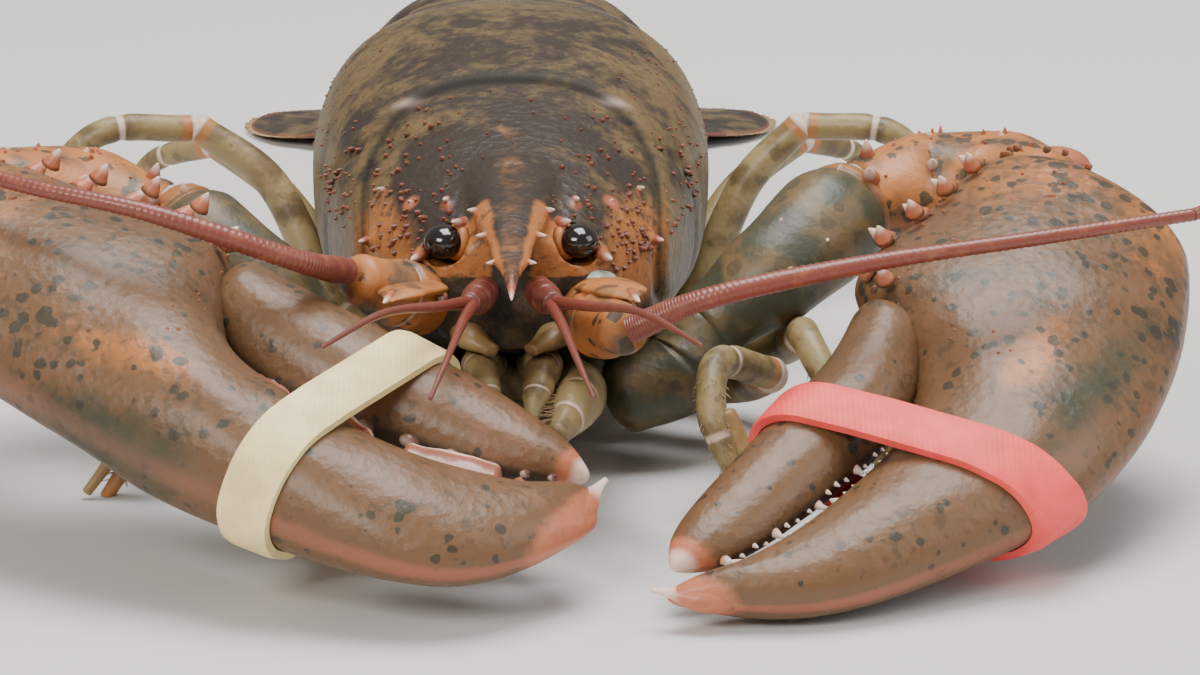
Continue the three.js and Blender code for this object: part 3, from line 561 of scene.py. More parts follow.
def mesh_piece(name, form, finish):
    """Object of a form, with its place in its mesh, smooth faces and its normals turned out."""
    mesh = bpy.data.meshes.new(name)
    points = (form.points + OFFSET) * MM
    mesh.from_pydata(points.tolist(), [], form.faces)
    mesh.update()
    for key, values in form.marks.items():
        mark = mesh.attributes.new(key, "FLOAT", "POINT")
        mark.data.foreach_set("value", values.astype(np.float32))
    piece = bpy.data.objects.new(name, mesh)
    bpy.context.scene.collection.objects.link(piece)
    activate(piece)
    bpy.ops.object.mode_set(mode="EDIT")
    bpy.ops.mesh.select_all(action="SELECT")
    bpy.ops.mesh.normals_make_consistent(inside=False)
    bpy.ops.object.mode_set(mode="OBJECT")
    bpy.ops.object.shade_smooth()
    piece.data.materials.append(finish)
    return piece


def apply_modifier(piece, kind, **settings):
    """Adds a modifier to a piece and applies it."""
    activate(piece)
    modifier = piece.modifiers.new(kind.title(), kind)
    for key, value in settings.items():
        setattr(modifier, key, value)
    bpy.ops.object.modifier_apply(modifier=modifier.name)


def blended(piece, voxel, rounds=2):
    """Melts a piece's forms into one skin of even faces."""
    apply_modifier(piece, "REMESH", mode="VOXEL", voxel_size=voxel * MM, use_smooth_shade=True)
    apply_modifier(piece, "SMOOTH", factor=0.5, iterations=rounds)


def remark(piece, **functions):
    """Writes marks on a piece from functions of its points in the lobster's millimetres."""
    mesh = piece.data
    flat = np.empty(len(mesh.vertices) * 3, np.float32)
    mesh.vertices.foreach_get("co", flat)
    points = flat.reshape(-1, 3) / MM - OFFSET
    for key, function in functions.items():
        mark = mesh.attributes.get(key) or mesh.attributes.new(key, "FLOAT", "POINT")
        mark.data.foreach_set("value", np.asarray(function(points), np.float32))


def settle(piece, slot, *nodes):
    """Hands a finished piece to the frame."""
    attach(piece, "root")
    if nodes:
        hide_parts(*nodes)


class Wire:
    """Socket that takes part in Python expressions, each of which adds its Math node."""

    def __init__(self, shader, socket):
        self.shader = shader
        self.socket = socket

    def _math(self, operation, *values):
        return self.shader.math(operation, *values)

    def __add__(self, other):
        return self._math("ADD", self, other)

    __radd__ = __add__

    def __sub__(self, other):
        return self._math("SUBTRACT", self, other)

    def __rsub__(self, other):
        return self._math("SUBTRACT", other, self)

    def __mul__(self, other):
        return self._math("MULTIPLY", self, other)

    __rmul__ = __mul__


class Shader:
    """Material whose nodes are added by one method, and joined by expressions."""

    def __init__(self, name):
        self.material = bpy.data.materials.new(name)
        self.material.use_nodes = True
        self.tree = self.material.node_tree
        self.tree.nodes.clear()
        self.output = self.tree.nodes.new("ShaderNodeOutputMaterial")
        self.surface = self.tree.nodes.new("ShaderNodeBsdfPrincipled")
        self.tree.links.new(self.surface.outputs[0], self.output.inputs["Surface"])

    def node(self, kind, settings=None, output=0, **inputs):
        """Adds a node. Inputs go by their sockets' names, or by _ and their number."""
        node = self.tree.nodes.new(kind)
        for key, value in (settings or {}).items():
            setattr(node, key, value)
        for key, value in inputs.items():
            name = int(key[1:]) if key[0] == "_" and key[1:].isdigit() else key.replace("_", " ")
            self.feed(node.inputs[name], value)
        return Wire(self, node.outputs[output])

    def feed(self, socket, value):
        """Links a wire to a socket, or sets its value."""
        if isinstance(value, Wire):
            self.tree.links.new(value.socket, socket)
        elif hasattr(value, "__len__") and len(value) == 3 and socket.type == "RGBA":
            socket.default_value = (*value, 1)
        else:
            socket.default_value = value

    def math(self, operation, *values):
        inputs = {f"_{i}": value for i, value in enumerate(values)}
        return self.node("ShaderNodeMath", {"operation": operation}, **inputs)

    def mix(self, low, high, share):
        """Colour between low and high."""
        return self.node("ShaderNodeMix", {"data_type": "RGBA", "clamp_factor": True}, output=2,
                         _0=share, _6=low, _7=high)

    def layered(self, ground, *layers):
        """Lays colours over a ground one after the other, each by its share."""
        for colour, share in layers:
            ground = self.mix(ground, colour, share)
        return ground

    def mark(self, name):
        return self.node("ShaderNodeAttribute", {"attribute_name": name}, output="Fac")

    def place(self):
        """Place in the lobster's own millimetres."""
        coordinates = self.node("ShaderNodeTexCoord", output="Object")
        return self.node("ShaderNodeMapping", {"vector_type": "POINT"}, Vector=coordinates,
                         Location=tuple(-OFFSET), Scale=(1 / MM, 1 / MM, 1 / MM))

    def noise(self, vector, size, detail=3.0, roughness=0.5, distortion=0.0):
        """Noise from 0 to 1, with its lumps about size millimetres across."""
        return self.node("ShaderNodeTexNoise", {"noise_dimensions": "3D"}, output="Fac", Vector=vector,
                         Scale=1 / size, Detail=detail, Roughness=roughness, Distortion=distortion)

    def cells(self, vector, size):
        """Distance to the middles of cells about size millimetres across."""
        return self.node("ShaderNodeTexVoronoi", {"feature": "F1"}, output="Distance", Vector=vector,
                         Scale=1 / size, Randomness=1.0)

    def dots(self, vector, size, radius, waver):
        """Round spots size millimetres apart, with radius as a share of size and an edge that wavers."""
        return self.band(radius - self.cells(vector, size) + (waver - 0.5) * 0.9, 0.0, 0.08)

    def band(self, value, low, high):
        """Soft step of a value from low to high."""
        return self.node("ShaderNodeMapRange", {"interpolation_type": "SMOOTHSTEP"}, Value=value,
                         **{"From_Min": low, "From_Max": high})

    def bump(self, height, distance, strength=1.0):
        """Normal from a height, distance millimetres deep."""
        return self.node("ShaderNodeBump", Height=height, Distance=distance * MM, Strength=strength)

    def finish(self, **inputs):
        """Feeds the surface and hands over the material."""
        for key, value in inputs.items():
            self.feed(self.surface.inputs[key.replace("_", " ")], value)
        return self.material


def colour_property(name, description, default):
    return bpy.props.FloatVectorProperty(
        name=name, description=description, default=default, subtype="COLOR", size=3, min=0, max=1)


class LobsterColours(bpy.types.PropertyGroup):
    """Colours of the shells and bands"""
    shell_dark: colour_property("Dark shell", "Back of the carapace and tail", (0.036, 0.026, 0.019))
    shell_olive: colour_property("Olive shell", "Mottled flanks", (0.150, 0.098, 0.040))
    shell_orange: colour_property("Orange shell", "Cheeks, beak stripe and arms", (0.46, 0.165, 0.045))
    claw_ground: colour_property("Claw ground", "Faces of the claws", (0.152, 0.078, 0.035))
    claw_dark: colour_property("Claw spots", "Dark spots of claws and arms", (0.040, 0.036, 0.024))
    shell_green: colour_property("Green shell", "Dark patches of claws and arms", (0.050, 0.052, 0.030))
    claw_rim: colour_property("Claw rim", "Edges and tips of the claws", (0.41, 0.112, 0.064))
    # Also the colour of the painted highlights at the two ends of the neck groove
    tip_pale: colour_property("Spine tips", "Tips of spines and teeth", (0.83, 0.62, 0.50))
    leg_olive: colour_property("Legs", "Walking legs", (0.30, 0.225, 0.10))
    joint_blue: colour_property("Joint skin", "Soft skin at the joints", (0.33, 0.40, 0.36))
    feeler_red: colour_property("Feelers", "Long feelers", (0.20, 0.045, 0.028))
    band_cream: colour_property("Cream band", "Band of the crusher claw", (0.93, 0.75, 0.36))
    band_coral: colour_property("Coral band", "Band of the cutter claw", (0.93, 0.085, 0.075))


class LobsterSizes(bpy.types.PropertyGroup):
    """Sizes of the surface"""
    skin_grain: bpy.props.FloatProperty(
        name="Skin grain", description="Face size of the melted shells, in millimetres",
        default=0.75, min=0.4, max=3)
    hair_length: bpy.props.FloatProperty(
        name="Fringe length", description="Length of the tail fan's bristles, in millimetres",
        default=3.2, min=0.5, max=8)
    fringe_count: bpy.props.IntProperty(
        name="Fringe count", description="Bristles on each blade of the tail fan", default=260, min=10)


def colours():
    return bpy.context.scene.lobster_colours


def sizes():
    return bpy.context.scene.lobster_sizes


# Materials
# Painted shade: near black inside the neck groove of the carapace
GROOVE_PAINTED_SHADE = (0.012, 0.010, 0.008)
# Painted shade: dark along the movable finger's edge that faces the fixed finger
GAP_PAINTED_SHADE = (0.030, 0.026, 0.021)
FINGER_TIP = (0.56, 0.17, 0.085)
TOOTH_CREST = ((0.86, 0.74, 0.62), (0.78, 0.42, 0.28))
TOOTH_ROOT = ((0.30, 0.10, 0.06), (0.74, 0.19, 0.10))
# Painted shade: dark over the crusher's movable-finger teeth, which sit between the fingers
TOOTH_PAINTED_SHADE = (0.055, 0.045, 0.036)
EYE_SHADES = ((0.004, 0.0035, 0.003), (0.018, 0.012, 0.009))
BRISTLE_SHADES = ((0.20, 0.11, 0.05), (0.48, 0.33, 0.17))
FLOOR_SHADES = ((0.66, 0.65, 0.63), (0.70, 0.69, 0.67))


def shell_grain(shader, place, size=1.5, depth=0.22):
    """Fine pits and granules of a shell, as a normal."""
    granules = shader.cells(place, size)
    pits = shader.noise(place, size * 0.6, detail=2)
    swells = shader.noise(place, 7, detail=2)
    height = granules * 0.4 + pits * 0.45 + swells * 0.6
    return shader.bump(height, depth)


def carapace_material():
    c = colours()
    shader = Shader("carapace_shell")
    place = shader.place()
    coarse = shader.noise(place, 11, detail=4, roughness=0.6, distortion=0.6)
    fine = shader.noise(place, 2.6, detail=4, roughness=0.65)
    orange = shader.mark("orange")
    flank = shader.mark("flank")
    blotch = shader.noise(place, 24, detail=5, roughness=0.62, distortion=1.2)
    mottle = blotch * 0.45 + coarse * 0.3 + fine * 0.25
    warm = shader.band(orange + (mottle - 0.5) * 1.7, 0.35, 0.95)
    freckles = shader.noise(place, 1.5, detail=3, distortion=0.5)
    speckle = shader.band(freckles * 0.6 + coarse * 0.4, 0.56, 0.62)
    flecks = shader.band(freckles * 0.5 + blotch * 0.5, 0.6, 0.68)
    rim = shader.band(shader.mark("rim") + (coarse - 0.5) * 1.5, 0.4, 1.2)
    ground = shader.layered(
        shader.mix(c.shell_dark, c.shell_olive, shader.band(mottle * 6 + flank * 0.5, 2.95, 3.85)),
        (c.shell_orange, warm * 0.82),
        (c.claw_dark, speckle * 0.6),
        (c.shell_orange, flecks * flank * 0.45),
        (c.claw_rim, rim * 0.5),
        (c.claw_rim, shader.band(shader.mark("tip"), 0.2, 0.55) * 0.85),
        (c.tip_pale, shader.band(shader.mark("tip"), 0.6, 0.95) * 0.85),
        # Painted highlight: pale glints at the two ends of the neck groove
        (c.tip_pale, shader.mark("pale") * 0.8),
        # Painted shade: the neck groove darkened towards black
        (GROOVE_PAINTED_SHADE, shader.mark("groove") * 0.75))
    return shader.finish(
        Base_Color=ground,
        Roughness=0.30 + fine * 0.22 + shader.mark("groove") * 0.45 + flank * 0.12,
        Normal=shell_grain(shader, place, size=1.7, depth=0.36),
        Coat_Weight=0.12 - shader.mark("groove") * 0.12, Coat_Roughness=0.2, Specular_IOR_Level=0.26)


def claw_material():
    c = colours()
    shader = Shader("claw_shell")
    place = shader.place()
    coarse = shader.noise(place, 14, detail=3, roughness=0.55, distortion=0.4)
    fine = shader.noise(place, 3.2, detail=4, roughness=0.6)
    rim = shader.mark("rim")
    warm = shader.mark("orange")
    blotch = shader.noise(place, 30, detail=5, roughness=0.6, distortion=1.0)
    mottle = blotch * 0.5 + coarse * 0.3 + fine * 0.2
    patches = shader.band(shader.mark("green") + (mottle - 0.5) * 2.2, 0.35, 0.85)
    flecks = shader.noise(place, 1.9, detail=2, roughness=0.45, distortion=0.4)
    marbling = shader.band(flecks * 0.6 + coarse * 0.4 + shader.mark("spots") * 0.05, 0.56, 0.62)
    dots = shader.dots(place, 3.4, 0.20 + shader.mark("spots") * 0.13 + (coarse - 0.5) * 1.1, fine)
    blush = shader.band(shader.mark("tip") + (fine - 0.5) * 0.4, 0.1, 0.5)
    ground = shader.layered(
        shader.mix(c.claw_ground, c.shell_green, patches),
        (c.shell_orange, shader.band(warm + (mottle - 0.5) * 2.0, 0.4, 0.85) * 0.9),
        (c.claw_rim, shader.band(fine * 0.5 + blotch * 0.5, 0.5, 0.75) * 0.2),
        (c.claw_dark, marbling * 0.4),
        (c.claw_dark, dots * 0.88),
        (c.claw_rim, shader.band(rim + (mottle - 0.5) * 1.2, 0.25, 1.0) * 0.55),
        # Painted shade: the movable finger's edge that faces the fixed finger, darkened
        (GAP_PAINTED_SHADE, shader.mark("gap") * 0.8),
        (FINGER_TIP, blush * 0.85),
        (c.tip_pale, shader.band(shader.mark("tip"), 0.6, 0.92) * 0.9))
    return shader.finish(
        Base_Color=ground,
        Roughness=0.32 + fine * 0.2,
        Normal=shell_grain(shader, place, size=2.0, depth=0.3),
        Coat_Weight=0.12, Coat_Roughness=0.2, Specular_IOR_Level=0.34)


def limb_material(name, ground_colour, second_colour, spot_share, rim_share=0.7):
    """Two-tone shell of a limb or of the tail, with spots, rims, joints and spine tips by its marks."""
    c = colours()
    shader = Shader(name)
    place = shader.place()
    coarse = shader.noise(place, 8, detail=3, distortion=0.4)
    fine = shader.noise(place, 2.4, detail=4)
    dots = shader.dots(place, 4.0, 0.33 + (coarse - 0.5) * 1.1, fine)
    ground = shader.layered(
        shader.mix(ground_colour, second_colour, shader.band(coarse, 0.4, 0.66)),
        (c.claw_dark, dots * spot_share),
        (c.claw_rim, shader.band(shader.mark("rim"), 0.3, 1) * rim_share),
        (c.shell_orange, shader.band(shader.mark("orange"), 0.3, 0.9) * 0.9),
        (c.tip_pale, shader.band(shader.mark("joint"), 0.55, 1) * 0.75),
        (c.claw_rim, shader.band(shader.mark("tip"), 0.1, 0.5) * 0.85),
        (c.tip_pale, shader.band(shader.mark("tip"), 0.5, 0.9)))
    return shader.finish(
        Base_Color=ground,
        Roughness=0.36 + fine * 0.2,
        Normal=shell_grain(shader, place, size=1.3, depth=0.16),
        Coat_Weight=0.12, Coat_Roughness=0.25, Specular_IOR_Level=0.4)


def feeler_material():
    c = colours()
    shader = Shader("feeler_shell")
    place = shader.place()
    fine = shader.noise(place, 3, detail=3)
    ground = shader.mix(c.feeler_red, c.shell_orange, shader.band(fine, 0.52, 0.8) * 0.35)
    ground = shader.mix(ground, c.claw_dark, shader.band(shader.mark("along"), 0.3, 1) * 0.3)
    return shader.finish(Base_Color=ground, Roughness=0.36 + fine * 0.12,
                         Normal=shell_grain(shader, place, size=0.8, depth=0.05), Coat_Weight=0.2)


def eye_material():
    shader = Shader("eye_surface")
    place = shader.place()
    facets = shader.cells(place, 0.28)
    ground = shader.mix(*EYE_SHADES, shader.noise(place, 2))
    return shader.finish(Base_Color=ground, Roughness=0.07 + facets * 0.1,
                         Normal=shader.bump(facets, 0.02, 0.4), Coat_Weight=0.7, Coat_Roughness=0.05)


def skin_material():
    c = colours()
    shader = Shader("joint_skin")
    place = shader.place()
    folds = shader.noise(place, 1.4, detail=3)
    ground = shader.mix(c.joint_blue, c.tip_pale, shader.band(folds, 0.4, 0.7) * 0.5)
    return shader.finish(Base_Color=ground, Roughness=0.42 + folds * 0.15,
                         Normal=shader.bump(folds, 0.35))


def tooth_material():
    shader = Shader("tooth_enamel")
    place = shader.place()
    stain = shader.noise(place, 2.2, detail=3)
    ground = shader.mix(*TOOTH_CREST, shader.band(stain, 0.5, 0.72) * 0.5)
    base = shader.mix(*TOOTH_ROOT, shader.band(shader.mark("tip"), 0.0, 0.35))
    ground = shader.mix(base, ground, shader.band(shader.mark("tip"), 0.45, 0.8))
    # Painted shade: teeth between the crusher's fingers darkened, less on their crests
    ground = shader.mix(ground, TOOTH_PAINTED_SHADE, shader.mark("dull") * 0.9)
    return shader.finish(Base_Color=ground, Roughness=0.25 + stain * 0.15,
                         Normal=shader.bump(shader.noise(place, 0.9), 0.06), Coat_Weight=0.3)


def bristle_material():
    shader = Shader("bristles")
    place = shader.place()
    tone = shader.noise(place, 1.5)
    ground = shader.mix(*BRISTLE_SHADES, tone)
    return shader.finish(Base_Color=ground, Roughness=0.5 + tone * 0.1)


def band_material(name, colour):
    shader = Shader(name)
    place = shader.place()
    cloud = shader.noise(place, 6, detail=3)
    grain = shader.noise(place, 0.5, detail=2)
    worn = [min(1, channel * 1.05 + 0.02) for channel in colour]
    dull = [channel * 0.9 for channel in colour]
    ground = shader.mix(dull, worn, shader.band(cloud, 0.3, 0.7))
    ripple = shader.node("ShaderNodeTexWave", {"wave_type": "BANDS"}, output="Fac",
                         Vector=place, Scale=0.35, Distortion=2.0, Detail=2.0)
    height = grain * 0.4 + ripple * 0.6
    return shader.finish(Base_Color=ground, Roughness=0.42 + grain * 0.16,
                         Normal=shader.bump(height, 0.05), Specular_IOR_Level=0.3)


MATERIALS = {}


def material(key):
    """Material by its key, made the first time that it is asked for."""
    if key not in MATERIALS:
        c = colours()
        makers = {
            "carapace": carapace_material,
            "claw": claw_material,
            "arm": lambda: limb_material("arm_shell", c.shell_orange, c.claw_ground, 0.85),
            "upper_arm": lambda: limb_material("upper_arm_shell", c.shell_green, c.shell_olive, 0.5),
            "leg": lambda: limb_material("leg_shell", c.leg_olive, c.shell_olive, 0.35),
            "tail": lambda: limb_material("tail_shell", c.shell_dark, c.shell_olive, 0.4, 0.28),
            "feeler": feeler_material,
            "eye": eye_material,
            "skin": skin_material,
            "tooth": tooth_material,
            "bristle": bristle_material,
            "cream": lambda: band_material("cream_rubber", tuple(c.band_cream)),
            "coral": lambda: band_material("coral_rubber", tuple(c.band_coral)),
        }
        MATERIALS[key] = makers[key]()
    return MATERIALS[key]


def dress(name, form, key, slot, *nodes):
    """Makes the piece of a form in a material, and hands it to the frame."""
    settle(mesh_piece(name, form, material(key)), slot, *nodes)


# Carapace
def flank_height(top):
    """Height of the carapace's widest line under its top."""
    return np.minimum(CARAPACE_FLANK, top - FLANK_DROP)


def groove_place(across):
    """Where the neck groove lies along Y, by the share of the half width from the middle."""
    return GROOVE_PLACE - GROOVE_SWEEP * across ** GROOVE_CURVE


def carapace_form():
    """Shell with its neck groove, side grooves, double line along the back and rear seam."""
    rows, around = 120, 150
    y = np.linspace(CARAPACE_FRONT, CARAPACE_REAR, rows + 1)
    half, top, low = rows_at(CARAPACE_ROWS, y).T
    flank = flank_height(top)
    angles = turns(around)
    across, high = np.cos(angles), np.sin(angles)
    power = np.where(high > 0, *CARAPACE_POWERS)
    away = y[:, None] - groove_place(np.abs(across))
    groove = bell(away, 0, 1.7) * (high > -0.3)
    lip = bell(away, 4.5, 3.5) * (high > -0.3)
    beyond = y[:, None] + 34 - 16 * np.abs(across) ** 2
    second = bell(beyond, 0, 2) * smooth_step(0.25, 0.6, np.abs(across))
    line = bell(np.abs(across), 0.13, 0.02) * smooth_step(0, 8, y)[:, None] * (high > 0)
    rear = bell(y[:, None], CARAPACE_REAR - 4.5, 1.1)
    swell = 0.5 * np.sin(y / 6.5)[:, None] * np.sin(angles * 5)
    inward = 1.15 * groove - 0.4 * lip + 0.9 * second + 0.3 * line + 0.7 * rear - 0.25 * swell
    shrink = 1 - inward / half[:, None]
    x = half[:, None] * rounded(across, power) * shrink
    tall = np.where(high > 0, (top - flank)[:, None], (flank - low)[:, None])
    z = flank[:, None] + tall * rounded(high, power) * shrink
    rings = grid(x, y[:, None], z)
    return skin(rings, (0, CARAPACE_FRONT - 1.5, 36), (0, CARAPACE_REAR - 1.5, 38))


def groove_distance(points):
    """How far points lie behind the neck groove of the carapace, along Y."""
    x, y = points.T[:2]
    half = rows_at(CARAPACE_ROWS, y)[:, 0]
    across = np.clip(np.abs(x) / half, 0, 1) ** (1 / CARAPACE_POWERS[0])
    return y - groove_place(across)


def groove_mark(points):
    """How near points are to the neck groove of the carapace, which is darkened there as painted shade."""
    z = points[:, 2]
    away = groove_distance(points)
    return bell(away, 0.4, 2.3) * smooth_step(CARAPACE_FLANK - 8, CARAPACE_FLANK, z)


def carapace_spine_list():
    """Spines of the carapace and beak on both sides, and the beak's point."""
    spines = [[(0, -95.5, 46), (0, -1, -0.3), 5.0, 1.3]]
    for root, lean, length, radius in CARAPACE_SPINES + ROSTRUM_SPINES:
        for side in (-1, 1):
            spines.append([(root[0] * side, *root[1:]), (lean[0] * side, *lean[1:]), length, radius])
    return spines


class MakeCarapace(bpy.types.Operator):
    """Carapace with its beak, grooves and spines"""
    bl_idname = "lobster.make_carapace"
    bl_label = "Carapace"

    def execute(self, context):
        beak = limb(
            [(0, -46, 49.6), (0, -66, 49.3), (0, -80, 47.6), (0, -96, 46.2)],
            [10, 6.2, 3.7, 1.2], flat=0.55, sides=40, steps=60,
            shape=lambda t, angles: 1 - 0.10 * bell(angles, np.pi / 2, 0.35) * (t > 0.05))
        thick = [spike(root, lean, length * 0.8, radius * 1.05, sunk=2.4)
                 for root, lean, length, radius in carapace_spine_list()]
        piece = mesh_piece("carapace_skin", carapace_form().joined(beak, *thick), material("carapace"))
        blended(piece, sizes().skin_grain, rounds=1)
        for side in (-1, 1):
            deselect()
            centre = (EYE * [side, 1, 1] + [-0.6 * side, -0.4, -0.6] + OFFSET) * MM
            bpy.ops.mesh.primitive_uv_sphere_add(
                segments=40, ring_count=24, radius=SOCKET_RADIUS * MM, location=centre)
            hollow = context.active_object
            hollow.scale = (1, 1, SOCKET_FLATNESS)
            apply_modifier(piece, "BOOLEAN", operation="DIFFERENCE", object=hollow, solver="EXACT")
            bpy.data.objects.remove(hollow)
        apply_modifier(piece, "SMOOTH", factor=0.5, iterations=1)
        tips = np.array([np.array(root) + unit(lean) * length
                         for root, lean, length, radius in carapace_spine_list()])

        def tip_mark(points):
            mark = np.zeros(len(points))
            for tip in tips:
                mark = np.maximum(mark, bell(np.linalg.norm(points - tip, axis=1), 0, 2.0))
            return mark * 0.8

        def orange_mark(points):
            x, y, z = points.T
            side = np.abs(x)
            stripe = bell(x, 0, 5.6) * smooth_step(-8, -42, y) * smooth_step(40, 46, z)
            edge = smooth_step(0.35, 0.8, side / np.interp(y, [-96, -66], [1.4, 6]))
            beak = smooth_step(-60, -66, y) * edge
            cheek = bell(side, 22, 9.5) * bell(y, -53, 15) * bell(z, 39, 10)
            low = 0.62 * smooth_step(30, 18, z) * smooth_step(10, 24, side)
            return np.maximum.reduce([stripe * 0.52, beak * 0.95 * (z > 40), cheek * 1.3, low * 0.7])

        # Painted highlight: two small glints where the neck groove ends on the back
        def glint_highlight_mark(points):
            x, y, z = points.T
            glint = bell(np.abs(x), 18, 2.4) * bell(y, -18, 1.1) * (z > 50)
            return glint * 0.8

        def rim_mark(points):
            return smooth_step(CARAPACE_REAR - 3.2, CARAPACE_REAR - 0.6, points[:, 1])

        def flank_mark(points):
            x, y = points.T[:2]
            away = groove_distance(points)
            beside = 0.6 * bell(away, 6, 3.6) + 0.45 * bell(away, -9, 5)
            return smooth_step(14, 30, np.abs(x)) + 0.7 * smooth_step(-14, 20, y) + beside

        remark(piece, tip=tip_mark, orange=orange_mark, pale=glint_highlight_mark, rim=rim_mark, flank=flank_mark,
               groove=groove_mark)
        settle(piece, "carapace_shell", "carapace")
        sharp = [spike(root, lean, length, radius * 0.78)
                 for root, lean, length, radius in carapace_spine_list()]
        sharp += [spike((8.0 * side, -62.5, 47.4), (0.5 * side, -1, 0.3), 5.2, 1.5, hook=0.3)
                  for side in (-1, 1)]
        dress("carapace_spines", together(sharp), "carapace", "carapace_shell")
        self.make_granules()
        return {"FINISHED"}

    @staticmethod
    def make_granules():
        source = random.Random(11)
        grains = []
        while len(grains) < CARAPACE_GRAINS:
            y = source.uniform(-64, 40)
            turn = source.uniform(0.1, 3.04)
            across, high = math.cos(turn), math.sin(turn)
            near_front = smooth_step(10, -50, y)
            if source.random() > abs(across) ** 1.5 * (0.25 + 0.75 * near_front) + 0.12 * near_front:
                continue
            half, top = rows_at(CARAPACE_ROWS, [y])[0][:2]
            flank = flank_height(top)
            if abs(y - groove_place(abs(across))) < 4 or y > 42:
                continue
            power = CARAPACE_POWERS[0]
            point = (half * rounded(across, power), y, flank + (top - flank) * rounded(high, power))
            lean = (across, -0.9, high * 0.9)
            size = source.uniform(0.35, 0.75) * (0.7 + 0.6 * near_front)
            grains.append(spike(point, lean, size, size * 1.15, sides=7, bright=0.45, sunk=0.9))
        dress("carapace_granules", together(grains), "carapace", "carapace_shell")


class MakeThorax(bpy.types.Operator):
    """Breast plates under the carapace"""
    bl_idname = "lobster.make_thorax"
    bl_label = "Underside"

    def execute(self, context):
        def plates(t, angles):
            seams = sum(bell(t, place, 0.012) for place in (0.2, 0.37, 0.54, 0.71, 0.88))
            keel = bell(angles, 1.5 * np.pi, 0.1)
            return 1 - 0.05 * seams - 0.06 * keel

        form = limb(
            [(0, -50, 15), (0, -30, 12), (0, 0, 9.8), (0, 28, 10.4), (0, 42, 13.5)],
            [12, 19, 21, 19, 13], flat=0.26, sides=96, steps=110, shape=plates)
        dress("thorax_skin", form, "leg", "leg_shell", "thorax_underside")
        return {"FINISHED"}


# Head
def ringed(period, depth, length):
    """Rings of a feeler, as a factor on its radius."""
    def shape(t, angles):
        return 1 + depth * math.cos(2 * math.pi * t * length / period) * np.ones(len(angles))
    return shape


def segmented(places, depth, width, bulge):
    """Narrow waists at the joints of a limb, each between two fuller ends."""
    def shape(t, angles):
        factor = 1.0
        for place in places:
            factor -= depth * bell(t, place, width)
            factor += bulge * bell(t, place, width * 3.2)
        return factor * np.ones(len(angles))
    return shape


def jointed(points, radii, joints, waist, ends=(), **settings):
    """Limb with waists at its joints, and pale skin marked at them and at the ends that are named."""
    form = limb(points, radii, shape=segmented(joints, *waist), **settings)
    along = form.marks["along"]
    return form.marked(joint=np.max([bell(along, place, 0.02) for place in (*joints, *ends)], axis=0))


